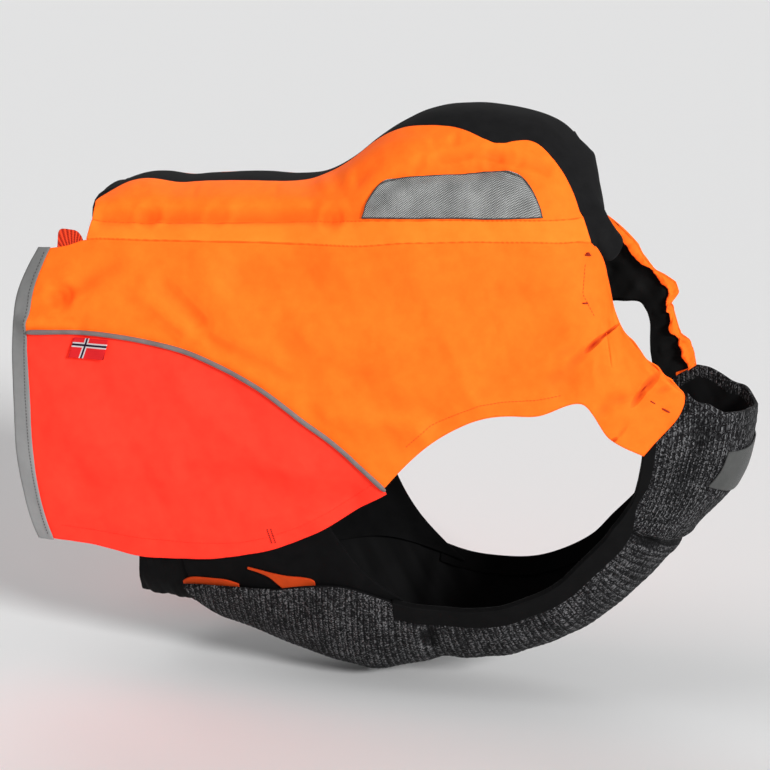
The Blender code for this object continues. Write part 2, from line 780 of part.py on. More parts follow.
def under(spot):
    """The same spot counted from the keel, so that spots of both sides join under the body."""
    station, turn = spot
    return station, turn - 360 if turn > 90 else turn


def collar_edges():
    """Spots of the collar's lip and lower edge, from the right strap to the left strap."""
    lip = [locate(row[0], row[1], -1) for row in COLLAR_RIGHT]
    lower = [locate(row[2], row[3], -1) for row in COLLAR_RIGHT]
    lip.append((COLLAR_MIDDLE[0], -90.0))
    lower.append((COLLAR_MIDDLE[1], -90.0))
    lip += [under(locate(row[0], row[1], 1)) for row in reversed(COLLAR_LEFT)]
    lower += [under(locate(row[2], row[3], 1)) for row in reversed(COLLAR_LEFT)]
    along = places(0, len(lip) - 1, 2)
    return [smooth_row(lip, place) for place in along], [collar_lower(lower, place) for place in along]


def collar_lower(lower, place):
    """A spot of the lower edge, which has a corner where each leg opening meets the seam."""
    last = len(lower) - 1
    if place <= COLLAR_SEAM_ROW:
        return smooth_row(lower[:COLLAR_SEAM_ROW + 1], place)
    if place >= last - COLLAR_SEAM_ROW:
        start = last - COLLAR_SEAM_ROW
        return smooth_row(lower[start:], place - start)
    return smooth_row(lower[COLLAR_SEAM_ROW:last - COLLAR_SEAM_ROW + 1], place - COLLAR_SEAM_ROW)


def make_collar(collection):
    lip, lower = collar_edges()
    points = spots_to_points(fill(lip, lower, 6), 0.0)
    shell("breast_collar", points, KNIT_WALL, "grey_knit", away_from_axis, collection)


def belly_columns():
    """Columns of spots across the belly panel, from its front seam to its rear edge."""
    half_rows = 6
    lower = collar_edges()[1]
    start = COLLAR_SEAM_ROW * 2
    columns = [[tuple(spot) for spot in lower[start:start + 2 * half_rows + 1]]]
    for place in places(0, len(BELLY) - 1, 2)[1:]:
        rim_x, rim_z, keel_x = smooth_row(BELLY, place)
        right = locate(rim_x, rim_z, -1)
        left = under(locate(rim_x, rim_z, 1))
        keel = (spot_station(2, keel_x), -90.0)
        column = [between(right, keel, row / half_rows) for row in range(half_rows)]
        column += [between(keel, left, row / half_rows) for row in range(half_rows + 1)]
        columns.append(column)
    return columns


def make_belly(collection):
    points = spots_to_points(belly_columns(), 0.0)
    shell("belly_panel", points, KNIT_WALL, "grey_knit", away_from_axis, collection)


def binding_lines(side):
    """Lines inward from the rim of the leg opening, from strap to gusset."""
    lip, lower = collar_edges()
    belly = belly_columns()
    if side > 0:
        lip.reverse()
        lower.reverse()
        belly = [list(reversed(column)) for column in belly]
    lines = []
    for column in fill(lower, lip, 6)[:COLLAR_SEAM_ROW * 2]:
        lines.append(along_facets(column, BINDING_WIDTH))
    for column in belly[:BINDING_END_ROW * 2 - 1]:
        lines.append(along_facets(column, BINDING_WIDTH))
    return lines


def make_binding(side, label, collection):
    lines = binding_lines(side)
    make_folded_strip("leg_binding_" + label, lines, KNIT_WALL, "black_binding", collection)


def make_gusset(side, label, collection):
    columns = []
    for place in places(0, len(GUSSET) - 1, 1):
        row = smooth_row(GUSSET, place)
        spots = [locate(row[index], row[index + 1], side) for index in (0, 2, 4)]
        columns.append([smooth_row(spots, part / 2) for part in range(5)])
    points = [[under_folds(spot, GUSSET_LIFT) for spot in column] for column in columns]
    shell("side_gusset_" + label, points, LINING_WALL, "black_stretch", away_from_axis, collection)


def make_edge_strip(name, table, side, collection):
    columns = []
    for place in places(0, len(table) - 1, 2):
        x, z, low, high = smooth_row(table, place)
        columns.append([locate(x, z + high, side), locate(x, z + low, side)])
    points = spots_to_points(columns, EDGE_STRIP_LIFT)
    shell(name, points, LINING_WALL, "orange_shell", away_from_axis, collection)


def make_rear_belly(collection):
    """Its free rear edge is gathered into shallow waves."""
    half_rows = 6
    columns = []
    for place in places(0, len(REAR_BELLY) - 1, 2):
        top_x, top_z, keel_x, top_lift, keel_lift = smooth_row(REAR_BELLY, place)
        keel = (spot_station(2, keel_x), -90.0)
        right = locate(top_x, top_z, -1)
        left = under(locate(top_x, top_z, 1))
        column = []
        for row in range(2 * half_rows + 1):
            part = 1 - abs(row - half_rows) / half_rows
            spot = between(right if row < half_rows else left, keel, part)
            low = max(0.0, part - REAR_BELLY_SIDE_SHARE) / (1 - REAR_BELLY_SIDE_SHARE)
            lift = top_lift + (keel_lift - top_lift) * low
            wave = math.cos(math.pi * row) * max(0.0, 1 - place / 2) * math.sin(math.pi * part / 2)
            column.append(cloth_point(spot, lift + REAR_BELLY_WAVE * (wave - 0.5)))
        columns.append(column)
    shell("rear_belly_piece", columns, LINING_WALL, "black_stretch", away_from_axis, collection)


def make_lining(side, label, collection):
    """The lining follows the troughs of the shell but not its ridges."""
    rows = 8
    back, _upper, _lower = band_edges(side)
    columns = []
    for place in [LINING_FIRST_PLACE] + places(2, LINING_FINE_ROW, 1) + lining_strap_places():
        top = main_top(side, place)
        bottom = main_bottom(side, place)
        low_inset = LINING_LEG_INSET
        if place <= PIPING_END_ROW:
            hem = locate(*smooth_row(HEM, place), side)
            bottom = between(bottom, hem, LINING_HEM_SHARE)
            low_inset = LINING_INSET
        if BAND_FIRST_ROW < place < BAND_LAST_ROW:
            top = between(back[round((place - BAND_FIRST_ROW) * 2)], top, LINING_BACK_SHARE)
        elif place <= BAND_FIRST_ROW:
            top = between(top, bottom, LINING_REAR_SHARE)
        height = (cloth_point(bottom, 0.0) - cloth_point(top, 0.0)).length
        first = LINING_INSET / height
        last = 1 - low_inset / height
        columns.append([
            between(top, bottom, first + (last - first) * row / rows) for row in range(rows + 1)
        ])
    lift = -LINING_WALL - LINING_GAP
    points = [[under_folds(spot, lift) for spot in column] for column in columns]
    shell("lining_" + label, points, LINING_WALL, "black_lining", away_from_axis, collection)


def lining_strap_places():
    """Closer places on the shoulder strap, whose folds are narrow."""
    return places(LINING_FINE_ROW, len(MAIN_RIGHT) - 1.5, 2)[1:] + [LINING_LAST_PLACE]


def make_neck_hem(side, label, collection):
    """The turned-in hem, which elastic gathers into waves."""
    columns = []
    for place in places(BAND_LAST_ROW, len(MAIN_RIGHT) - 1, 3):
        top = main_top(side, place)
        bottom = main_bottom(side, place)
        height = (cloth_point(bottom, 0.0) - cloth_point(top, 0.0)).length
        turn = math.pi * NECK_WAVES * (place - BAND_LAST_ROW) / NECK_WAVE_ROWS
        wave = 0.5 - 0.5 * math.cos(turn)
        width = NECK_HEM_WIDTH * (NECK_HEM_NARROWEST + (1 - NECK_HEM_NARROWEST) * wave)
        outer = between(top, bottom, -NECK_HEM_OUT * wave / height)
        inner = between(top, bottom, width / height)
        columns.append([
            cloth_point(outer, -LINING_WALL - SEAM_GAP),
            under_folds(between(outer, inner, 0.5), NECK_HEM_MIDDLE_LIFT - NECK_HEM_MIDDLE_WAVE * wave),
            under_folds(inner, NECK_HEM_INNER_LIFT - NECK_HEM_INNER_WAVE * wave),
        ])
    shell("neck_hem_" + label, columns, LINING_WALL, "orange_shell", away_from_axis, collection)


def make_mesh_patch(side, label, collection):
    columns = []
    for top_x, top_z, bottom_x, bottom_z in MESH_PATCH:
        top = locate(top_x, top_z, side)
        bottom = locate(bottom_x, bottom_z, side)
        columns.append([between(top, bottom, row / 3) for row in range(4)])
    points = spots_to_points(columns, SHELL_WALL + LAYER_GAP)
    shell("mesh_patch_" + label, points, TAPE_WALL, "reflective_mesh", away_from_axis, collection)


def make_breast_patch(collection):
    rows = list(BREAST_PATCH) + [(-180 - turn, low, high) for turn, low, high in BREAST_PATCH[-2::-1]]
    columns = []
    for turn, low, high in rows:
        columns.append([(low + (high - low) * row / 2, turn) for row in range(3)])
    points = spots_to_points(columns, KNIT_WALL + LAYER_GAP)
    shell("breast_patch", points, TAPE_WALL, "reflective_tape", away_from_axis, collection)


def make_label(collection):
    """The label hangs from the piping and stands off the panel at its lower edge."""
    columns = []
    for step in range(5):
        along = LABEL["x"] + LABEL["width"] * step / 4
        column = []
        for row in range(4):
            down = row / 3
            spot = locate(along + LABEL["slant"] * down, LABEL["z"] - LABEL["height"] * down, -1)
            column.append(cloth_point(spot, SHELL_WALL + LAYER_GAP + LABEL["stand_off"] * down))
        columns.append(column)
    shell("flag_label", columns, TAPE_WALL, "label_weave", away_from_axis, collection)


def make_loop(collection):
    """The doubled ribbon lies in line with the cloth, inside the main panel's upper edge."""
    columns = []
    for bottom_x, bottom_z, top_x, top_z in LOOP:
        bottom = locate(bottom_x, bottom_z, -1)
        top = locate(top_x, top_z, -1)
        spots = [between(bottom, top, row / 3) for row in range(4)]
        columns.append([cloth_point(spot, -LAYER_GAP - LOOP_WALL) for spot in spots])
    shell("pull_loop", columns, LOOP_WALL, "loop_elastic", away_from_axis, collection)


def main():
    clear_scene()
    collection = bpy.data.collections.new("dog_hunting_vest")
    bpy.context.scene.collection.children.link(collection)
    make_back_strip(collection)
    for side, label in ((-1, "right"), (1, "left")):
        make_main_panel(side, label, collection)
        make_upper_panel(side, label, collection)
        make_band(side, label, collection)
        make_flank_panel(side, label, collection)
        make_piping(side, label, collection)
        make_rear_tape(side, label, collection)
        make_mesh_patch(side, label, collection)
        make_lining(side, label, collection)
        make_neck_hem(side, label, collection)
        make_binding(side, label, collection)
        make_gusset(side, label, collection)
        make_edge_strip("belly_edge_strip_" + label, EDGE_STRIP, side, collection)
        make_edge_strip("belly_edge_flap_" + label, EDGE_FLAP, side, collection)
    make_collar(collection)
    make_belly(collection)
    make_rear_belly(collection)
    make_breast_patch(collection)
    make_label(collection)
    make_loop(collection)


main()
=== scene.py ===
"""Dog hunting vest, filled out with no wearer: the cloth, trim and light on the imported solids.

Metres, +Z up, +X towards the neck. The right side of the vest is at -Y and faces the camera.
"""
import math

import bmesh
import bpy
import numpy as np
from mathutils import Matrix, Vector, kdtree
from mathutils.bvhtree import BVHTree


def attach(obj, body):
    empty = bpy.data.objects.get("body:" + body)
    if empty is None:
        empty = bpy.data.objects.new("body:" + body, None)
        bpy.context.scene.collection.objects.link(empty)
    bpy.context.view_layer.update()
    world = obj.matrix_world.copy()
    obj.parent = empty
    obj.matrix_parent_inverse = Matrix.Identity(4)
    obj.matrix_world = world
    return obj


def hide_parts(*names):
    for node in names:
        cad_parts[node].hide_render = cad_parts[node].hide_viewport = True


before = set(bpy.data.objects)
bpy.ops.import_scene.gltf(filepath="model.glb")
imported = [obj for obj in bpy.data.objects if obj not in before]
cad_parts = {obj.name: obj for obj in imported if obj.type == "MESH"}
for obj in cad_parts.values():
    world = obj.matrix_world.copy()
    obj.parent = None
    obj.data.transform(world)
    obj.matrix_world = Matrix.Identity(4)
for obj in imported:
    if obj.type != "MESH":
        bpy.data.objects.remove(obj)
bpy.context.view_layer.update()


# The view. A camera at the photograph's angle, a plain pale floor just under the vest, and
# soft lamps in front towards the neck end, above and behind, as in a small photo studio.
VIEW_TURN = math.radians(15)
VIEW_TILT = math.radians(14)
VIEW_DISTANCE = 2.2
VIEW_WIDTH = 0.539
VIEW_TARGET = Vector((0.0616, 0.0, -0.1448))
SENSOR_WIDTH = 36.0
SKY_COLOUR = (0.95, 0.95, 0.96, 1.0)
SKY_STRENGTH = 0.27
FLOOR_HEIGHT = -0.3535
FLOOR_RADIUS = 9.0
FLOOR_SHADES = ((0.0, 0.87, 0.87, 0.87), (1.0, 0.90, 0.90, 0.90))
# Columns: name, x, y, z towards the lamp, strength, width in degrees.
LAMPS = (
    ("lamp_front", 0.95, -0.85, 0.50, 2.95, 12),
    ("lamp_top", -0.35, -0.25, 1.0, 0.45, 40),
    ("lamp_behind", -0.3, 1.0, 0.6, 0.80, 40),
)
scene = bpy.context.scene


def show(name, data):
    """A new object with that data, linked to the scene."""
    made = bpy.data.objects.new(name, data)
    scene.collection.objects.link(made)
    return made


def aim(holder, spot, direction):
    """Puts an object at a spot and points its own -Z axis that way."""
    holder.location = spot
    holder.rotation_mode = "QUATERNION"
    holder.rotation_quaternion = direction.to_track_quat("-Z", "Y")


def feed(finish, node, **values):
    """Sets a node's own settings, and its inputs by name, or as n0, n1 and so on by number. A
    value that is a node, or a pair of a node and one of its outputs, is linked."""
    for key, value in values.items():
        spot = int(key[1:]) if key[0] == "n" and key[1:].isdigit() else key.replace("_", " ")
        if hasattr(value, "outputs"):
            value = (value, 0)
        if hasattr(node, key):
            setattr(node, key, value)
        elif isinstance(value, tuple) and hasattr(value[0], "outputs"):
            finish.node_tree.links.new(value[0].outputs[value[1]], node.inputs[spot])
        else:
            node.inputs[spot].default_value = value


def add_node(finish, kind, **values):
    made = finish.node_tree.nodes.new("ShaderNode" + kind)
    feed(finish, made, **values)
    return made


def colour_ramp(finish, value, stops):
    """A colour ramp fed by a value, with stops (place, red, green, blue)."""
    ramp = add_node(finish, "ValToRGB", Fac=value)
    elements = ramp.color_ramp.elements
    while len(elements) < len(stops):
        elements.new(0.5)
    for element, (place, red, green, blue) in zip(elements, stops):
        element.position = place
        element.color = (red, green, blue, 1.0)
    return ramp


def new_finish(name, roughness, gloss):
    """A material of that roughness and gloss, and its shader."""
    finish = bpy.data.materials.new(name)
    finish.use_nodes = True
    shader = finish.node_tree.nodes["Principled BSDF"]
    feed(finish, shader, Roughness=roughness, Specular_IOR_Level=gloss)
    return finish, shader


back = Vector((math.sin(VIEW_TURN) * math.cos(VIEW_TILT),
               -math.cos(VIEW_TURN) * math.cos(VIEW_TILT),
               math.sin(VIEW_TILT)))
camera = show("camera", bpy.data.cameras.new("camera"))
camera.data.sensor_width = SENSOR_WIDTH
camera.data.lens = SENSOR_WIDTH * VIEW_DISTANCE / VIEW_WIDTH
aim(camera, VIEW_TARGET + back * VIEW_DISTANCE, -back)
scene.camera = camera
scene.view_settings.view_transform = "Standard"

for name, x, y, z, strength, width in LAMPS:
    lamp = bpy.data.lights.new(name, "SUN")
    lamp.energy = strength
    lamp.angle = math.radians(width)
    aim(show(name, lamp), (x, y, z), Vector((-x, -y, -z)))

world = bpy.data.worlds.new("studio")
world.use_nodes = True
world.node_tree.nodes["Background"].inputs["Color"].default_value = SKY_COLOUR
world.node_tree.nodes["Background"].inputs["Strength"].default_value = SKY_STRENGTH
scene.world = world

floor_sheet = bmesh.new()
bmesh.ops.create_circle(floor_sheet, cap_ends=True, radius=FLOOR_RADIUS, segments=64)
floor_mesh = bpy.data.meshes.new("floor")
floor_sheet.to_mesh(floor_mesh)
floor_sheet.free()
floor = show("floor", floor_mesh)
floor.location.z = FLOOR_HEIGHT
paper, paper_shader = new_finish("floor_paper", 0.95, 0.1)
paper_grain = add_node(paper, "TexNoise", Scale=3.0)
feed(paper, paper_shader, Base_Color=colour_ramp(paper, paper_grain, FLOOR_SHADES))
floor_mesh.materials.append(paper)


# Main side panels. Each is one piece of bright orange softshell, cut from the rear hem to the
# shoulder and on to the strap over the shoulder, whose end is hemmed. The neck edge is drawn in
# by elastic, which pinches the strap, and the panel hangs in soft troughs over the flank.
SIDES = (("right", -1), ("left", 1))
BODY_HALF_WIDTH = 0.083
BODY_HALF_HEIGHT = 0.165
BODY_MIDDLE_HEIGHT = -0.155
CHEST_START = 0.12
CHEST_LENGTH = 0.25
SOFT_RIM = 0.55
CORNER_RIM = 0.75
RIM_ANGLE = math.radians(68)
JOIN_ANGLE = math.radians(60)
RIM_STEP = 0.001
FIT_ROUNDS = 3
FIT_SHARE = 0.85
CREASE_MEETING = 6
CREASE_SHOULDER = 0.35
NARROW_FOLD = 0.0035
DEEP_FOLD = 0.0040
STEPS_A_METRE = 10000

# Creases of the side cloth, seen from the side, in every layer there, in tenths of a millimetre.
# side is -1 on the right, 1 on the left and 0 on both; a trough has depths below zero.
# Columns: side, start_x, start_z, end_x, end_z, width, start_depth, end_depth.
SIDE_CREASES = (
    (-1, 2273, -1399, 2350, -1279, 60, -10, -20), (-1, 2350, -1279, 2495, -1247, 60, -20, -12),
    (-1, 2017, -1248, 2083, -1141, 80, -18, -26), (-1, 2083, -1141, 2159, -966, 80, -26, -12),
    (1, 2560, -860, 2420, -960, 18, -23, -16), (1, 2420, -960, 2320, -1040, 36, -15, -3),
    (1, 2600, -1130, 2470, -1230, 20, -21, -16), (1, 2470, -1230, 2430, -1340, 30, -15, -3),
    (1, 2260, -790, 2120, -960, 50, -34, -16), (1, 2060, -700, 1960, -930, 60, 30, 16),
    (-1, -1720, -880, -1511, -784, 60, -16, -45), (-1, -1511, -784, -1141, -547, 65, -45, -12),
    (-1, -1751, -985, -1429, -965, 50, 30, 12), (-1, -915, -722, -580, -940, 55, 8, 26),
    (-1, -752, -653, -482, -881, 60, -18, -26), (1, -1700, -840, -1360, -650, 70, -38, -12),
    (1, -1000, -700, -640, -890, 60, -26, -16), (1, -180, -700, 200, -960, 70, 26, 16),
    (0, 465, -1457, 1087, -1524, 70, 18, 30), (0, 620, -1200, 1180, -960, 90, -22, -12),
    (0, 300, -900, 1000, -760, 100, 18, 12), (0, 1600, -560, 1980, -620, 80, -18, -12),
    (0, -400, -1000, 150, -1220, 50, -18, -12), (0, -1270, -260, -940, -225, 50, -26, -44),
    (0, -940, -225, -440, -200, 48, -44, -30), (0, -440, -200, 400, -165, 50, -30, -40),
    (0, 400, -165, 600, -120, 50, -40, -8), (0, 1087, 240, 1197, 324, 30, -9, -5),
    (0, 1567, 294, 1753, 335, 30, -7, -6), (0, 1147, 280, 1486, 325, 50, -30, -22),
    (0, 560, 100, 680, 180, 55, -22, -12), (0, -655, -60, -630, -130, 30, -10, -3),
    (0, -72, -36, -40, -110, 30, -10, -3), (0, -1050, -80, -950, -170, 40, -9, -4),
    (0, 240, 40, 420, -80, 50, 22, 8), (-1, -1500, -1700, -700, -1780, 130, 30, 16),
    (-1, -1350, -2100, -500, -2150, 120, -30, -16), (-1, -560, -1400, 160, -1900, 120, 22, 22),
    (1, -1500, -1750, -800, -1650, 130, -30, -16), (1, -1100, -2150, -400, -2200, 120, 26, 18),
    (0, 1215, 390, 1240, 250, 35, -12, -4), (0, 1069, 360, 1180, 240, 30, -12, -6),
    (0, 1540, 300, 1840, 230, 60, -44, -21), (0, 1400, 300, 1540, 300, 50, -29, -44),
    (0, -200, -560, 250, -500, 120, -33, -21), (0, -547, -1923, 602, -2045, 110, -29, -36),
    (0, 900, -900, 1500, -820, 120, 25, 16), (0, 1050, 180, 1480, 235, 60, -26, -40),
    (0, 1480, 235, 1800, 150, 60, -40, -20), (0, 780, 80, 1010, 210, 60, -16, -22),
    (0, 1700, 230, 1930, 20, 70, 16, 12), (-1, 1560, -1150, 1960, -820, 100, -18, -26),
    (-1, 1500, -1230, 1980, -1120, 90, -12, -20),
)

# How far the elastic draws the neck edge forward or back at each height, at the edge itself and
# where the turned-in hem ends inside, in tenths of a millimetre.
# Columns: side, z, edge_x, edge_shift, inner_shift.
NECK_EDGE = (
    (-1, -266, 2188, 0, 0), (-1, -440, 2302, -8, 0), (-1, -618, 2339, 0, 0), (-1, -947, 2508, 0, 0),
    (-1, -1043, 2605, -12, 0), (-1, -1064, 2633, -27, -6), (-1, -1095, 2684, -30, 0),
    (-1, -1146, 2774, -44, 0), (-1, -1199, 2831, -36, 0), (-1, -1249, 2855, -10, 0),
    (-1, -1290, 2800, 0, 0), (1, -475, 2284, 0, 0), (1, -537, 2338, -30, 12),
    (1, -650, 2440, -55, 38), (1, -678, 2464, -10, 50), (1, -730, 2501, 40, 75),
    (1, -799, 2540, 34, 55), (1, -876, 2545, -24, 34), (1, -958, 2571, -18, 24),
    (1, -1099, 2606, -21, 44), (1, -1128, 2613, 28, 50), (1, -1216, 2647, 28, 64),
    (1, -1321, 2694, 6, 50), (1, -1400, 2700, 0, 0),
)
EDGE_REACH = 0.0045
HEM_REACH = 0.0055
HEM_WIDTH = 0.009
TURNED_IN = 0.014
# Ripples are evened out from this far forward, and from this far in from a rim.
NECK_START = 0.195
NECK_FADE = 0.015
RIM_KEPT = 0.0010
RIM_FADE = 0.0020
# A piece is evened out again after it is creased, by one round for each so many before.
LATER_CALM = 24


def outward(points):
    """The direction away from the middle of the body at each point."""
    ahead = np.maximum(points[:, 0] - CHEST_START, 0.0) / CHEST_LENGTH ** 2
    side = points[:, 1] / BODY_HALF_WIDTH ** 2
    up = (points[:, 2] - BODY_MIDDLE_HEIGHT) / BODY_HALF_HEIGHT ** 2
    away = np.column_stack((ahead, side, up))
    return away / np.maximum(np.linalg.norm(away, axis=1), 1e-9)[:, None]


def crease_relief(points, rows, narrow=False):
    """How far the creases of a table lift each point, seen from the side. Where creases meet,
    the deepest one rules. With narrow set, a wide crease counts for less."""
    ridges = np.zeros(len(points))
    troughs = np.zeros(len(points))
    flat = points[:, (0, 2)]
    for side, *sizes in rows:
        start_x, start_z, end_x, end_z, width, *depths = np.array(sizes) / STEPS_A_METRE
        if narrow:
            depths = [depth * min(1.0, NARROW_FOLD / width) for depth in depths]
        line = np.array((end_x - start_x, end_z - start_z))
        offset = flat - (start_x, start_z)
        part = np.clip(offset @ line / (line @ line), 0.0, 1.0)
        away = np.linalg.norm(offset - part[:, None] * line, axis=1) / width
        depth = depths[0] + (depths[1] - depths[0]) * part
        shape = np.exp(-away ** 2) - CREASE_SHOULDER * np.exp(-(away - 2.0) ** 2)
        here = (points[:, 1] * side >= 0).astype(float)
        ridges += np.maximum(depth * shape * here, 0.0) ** CREASE_MEETING
        troughs += np.maximum(-depth * shape * here, 0.0) ** CREASE_MEETING
    return ridges ** (1 / CREASE_MEETING) - troughs ** (1 / CREASE_MEETING)


def neck_pull(points):
    """How the elastic of the neck edge draws each point forward or back, and how far each point
    lies behind that edge."""
    pull = np.zeros_like(points)
    behind = np.full(len(points), 1.0)
    for side in (-1, 1):
        height, edge_x, edge_shift, inner_shift = np.array(
            [sizes for row_side, *sizes in NECK_EDGE if row_side == side])[::-1].T / STEPS_A_METRE
        here = (points[:, 1] * side >= 0) & (points[:, 0] > CHEST_START)
        inward = np.interp(points[:, 2], height, edge_x) - points[:, 0]
        behind[here] = inward[here]
        at_edge = np.exp(-(inward / EDGE_REACH) ** 2)
        at_hem = np.exp(-((inward - HEM_WIDTH) / HEM_REACH) ** 2)
        pull[:, 0] += here * (at_edge * np.interp(points[:, 2], height, edge_shift)
                              + at_hem * np.interp(points[:, 2], height, inner_shift))
    return pull, behind


def slack(points, size, height):
    """Slow uneven waves of that size and height, as in any cloth that isn't pulled tight."""
    turn = 2 * math.pi / size
    x, y, z = points.T
    waves = np.sin(turn * (0.82 * x + 0.41 * z) + 0.7)
    waves += np.sin(turn * (0.47 * x - 0.93 * z + 0.35 * y) + 2.1)
    waves += np.sin(turn * (1.31 * x + 0.88 * y + 0.64 * z) + 4.4)
    return height * waves / 3


def mesh_points(mesh):
    points = np.empty(len(mesh.vertices) * 3)
    mesh.vertices.foreach_get("co", points)
    return points.reshape(-1, 3)


def node_form(node, rounds, rim):
    """A CAD node's smooth form, which passes through its corners, and its rim as a tree."""
    form = bmesh.new()
    form.from_mesh(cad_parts[node].data)
    bmesh.ops.remove_doubles(form, verts=form.verts, dist=1e-6)
    bmesh.ops.join_triangles(form, faces=form.faces, angle_face_threshold=JOIN_ANGLE,
                             angle_shape_threshold=JOIN_ANGLE)
    soft = form.edges.layers.float.new("crease_edge")
    rim_points = []
    for edge in form.edges:
        if edge.calc_face_angle(0.0) < RIM_ANGLE:
            continue
        edge[soft] = rim
        start, end = (corner.co for corner in edge.verts)
        steps = max(int((end - start).length / RIM_STEP), 1)
        rim_points += [start.lerp(end, step / steps) for step in range(steps + 1)]
    for corner in form.verts:
        creased = [edge for edge in corner.link_edges if edge[soft] > 0]
        if len(creased) > 2:
            for edge in creased:
                edge[soft] = max(rim, CORNER_RIM)
    mesh = bpy.data.meshes.new(node + "_form")
    form.to_mesh(mesh)
    form.free()
    holder = show(node + "_form", mesh)
    smoother = holder.modifiers.new("smooth", "SUBSURF")
    smoother.levels = smoother.render_levels = rounds

    def smoothed():
        return bpy.data.meshes.new_from_object(
            holder.evaluated_get(bpy.context.evaluated_depsgraph_get()))

    corners = mesh_points(mesh)
    reached = corners.copy()
    for _ in range(FIT_ROUNDS):
        smooth = smoothed()
        reached += FIT_SHARE * (corners - mesh_points(smooth)[:len(corners)])
        mesh.vertices.foreach_set("co", reached.ravel())
        mesh.update()
        bpy.data.meshes.remove(smooth)
    smooth = smoothed()
    bpy.data.objects.remove(holder)
    tree = kdtree.KDTree(len(rim_points))
    for index, point in enumerate(rim_points):
        tree.insert(point, index)
    tree.balance()
    return smooth, tree


def calmed(mesh, points, edge, rounds):
    """The points with ripples evened out near the neck, apart from those at the rim."""
    ends = np.empty(len(mesh.edges) * 2, dtype=np.int32)
    mesh.edges.foreach_get("vertices", ends)
    first, second = ends.reshape(-1, 2).T
    count = np.bincount(ends, minlength=len(points))[:, None]
    share = 0.5 * np.clip((edge - RIM_KEPT) / RIM_FADE, 0.0, 1.0)[:, None]
    share *= np.clip((points[:, 0] - NECK_START) / NECK_FADE, 0.0, 1.0)[:, None]
    for _ in range(rounds):
        total = np.column_stack([
            np.bincount(first, points[second, axis], len(points))
            + np.bincount(second, points[first, axis], len(points)) for axis in range(3)])
        points = points + share * (total / count - points)
    return points


def lay_grain(mesh, along, across):
    """Stores where the thread lies as a UV map in metres."""
    layer = mesh.uv_layers.new(name="grain")
    corners = np.empty(len(mesh.loops), dtype=np.int32)
    mesh.loops.foreach_get("vertex_index", corners)
    layer.data.foreach_set("uv", np.column_stack((along, across))[corners].ravel())


def body_grain(points):
    """Along the body, and round it from the side."""
    angles = np.linspace(-math.pi / 2, math.pi / 2, 181)
    step = np.hypot(BODY_HALF_WIDTH * np.sin(angles), BODY_HALF_HEIGHT * np.cos(angles))
    length = np.cumsum(step) * (angles[1] - angles[0])
    angle = np.arctan2((points[:, 2] - BODY_MIDDLE_HEIGHT) / BODY_HALF_HEIGHT,
                       np.abs(points[:, 1]) / BODY_HALF_WIDTH)
    return points[:, 0], np.interp(angle, angles, length)


def add_piece(name, mesh, finish, node=None):
    """A visible piece of the vest in one finish, which stands for a CAD node where one is given."""
    mesh.materials.clear()
    mesh.materials.append(finish)
    mesh.polygons.foreach_set("material_index", [0] * len(mesh.polygons))
    mesh.polygons.foreach_set("use_smooth", [True] * len(mesh.polygons))
    mesh.update()
    piece = show(name, mesh)
    if node:
        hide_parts(node)
    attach(piece, "root")
    return piece


def cloth_piece(name, node, finish, slot, lift_of, flat, held, rests_on, area=None, rounds=3,
                grain=body_grain, rim=SOFT_RIM, folds=SIDE_CREASES, drawn=False, calm=0):
    """A finished piece on a CAD node's form: evened out in calm rounds, creased by lift_of,
    drawn in at the neck edge if drawn is set, and evened out a little again."""
    mesh, tree = node_form(node, rounds, rim)
    points = mesh_points(mesh)
    edge = np.array([tree.find(point)[2] for point in points])
    points = calmed(mesh, points, edge, calm)
    away = outward(points)
    facing = np.empty(len(points) * 3)
    mesh.vertex_normals.foreach_get("vector", facing)
    facing = facing.reshape(-1, 3)
    inside = ((facing * away).sum(axis=1) < 0).astype(float)
    # How deep each point lies in a crease, kept so that the finishes can lay painted shade in the
    # folds.
    fold = np.clip(-crease_relief(points, folds, narrow=True) / DEEP_FOLD, 0.0, 1.0)
    moved = points + away * lift_of(points, edge, inside)[:, None]
    if drawn:
        pull, behind = neck_pull(points)
        inside = inside * (behind > TURNED_IN)
        flat_part = np.clip(edge / EDGE_REACH, 0.0, 1.0)[:, None]
        moved += pull - flat_part * facing * (pull * facing).sum(axis=1)[:, None]
    moved = calmed(mesh, moved, edge, calm // LATER_CALM)
    mesh.vertices.foreach_set("co", moved.ravel())
    lay_grain(mesh, *grain(points))
    for key, values in (("edge", edge), ("inside", inside), ("fold", fold)):
        mesh.attributes.new(key, "FLOAT", "POINT").data.foreach_set("value", values)
    piece = add_piece(name, mesh, finish, node)
    return piece


def cloth_pair(stem, finish, slot, lift_of, flat, held, rests_on, areas=(None, None), node=None,
               **more):
    """A piece on each side. The areas are passed on but not used. A rests_on that ends in an
    underscore names that side's own piece; it too is passed on but not used."""
    pieces = {}
    for (side, _sign), area in zip(SIDES, areas):
        ground = rests_on + side if rests_on.endswith("_") else rests_on
        pieces[side] = cloth_piece(stem + "_cloth_" + side, (node or stem) + "_" + side, finish,
                                   slot, lift_of, flat, held, ground, area, **more)
    return pieces


def maths(finish, operation, *values):
    """A maths node of values, each a number, a node or a pair of a node and its output."""
    return add_node(finish, "Math", operation=operation,
                    **{"n%d" % spot: value for spot, value in enumerate(values)})


def ranged(finish, value, low, high, to_low=0.0, to_high=1.0):
    """A value carried from one range to another, and kept inside it."""
    return add_node(finish, "MapRange", Value=value, From_Min=low, From_Max=high, To_Min=to_low,
                    To_Max=to_high)


def attribute(finish, name):
    return add_node(finish, "Attribute", attribute_name=name), "Fac"


def object_place(finish):
    return add_node(finish, "TexCoord"), "Object"


def grain_parts(finish):
    """The grain map, and its two coordinates as a node with outputs X and Y, in metres."""
    grain = add_node(finish, "UVMap", uv_map="grain")
    return grain, add_node(finish, "SeparateXYZ", Vector=grain)


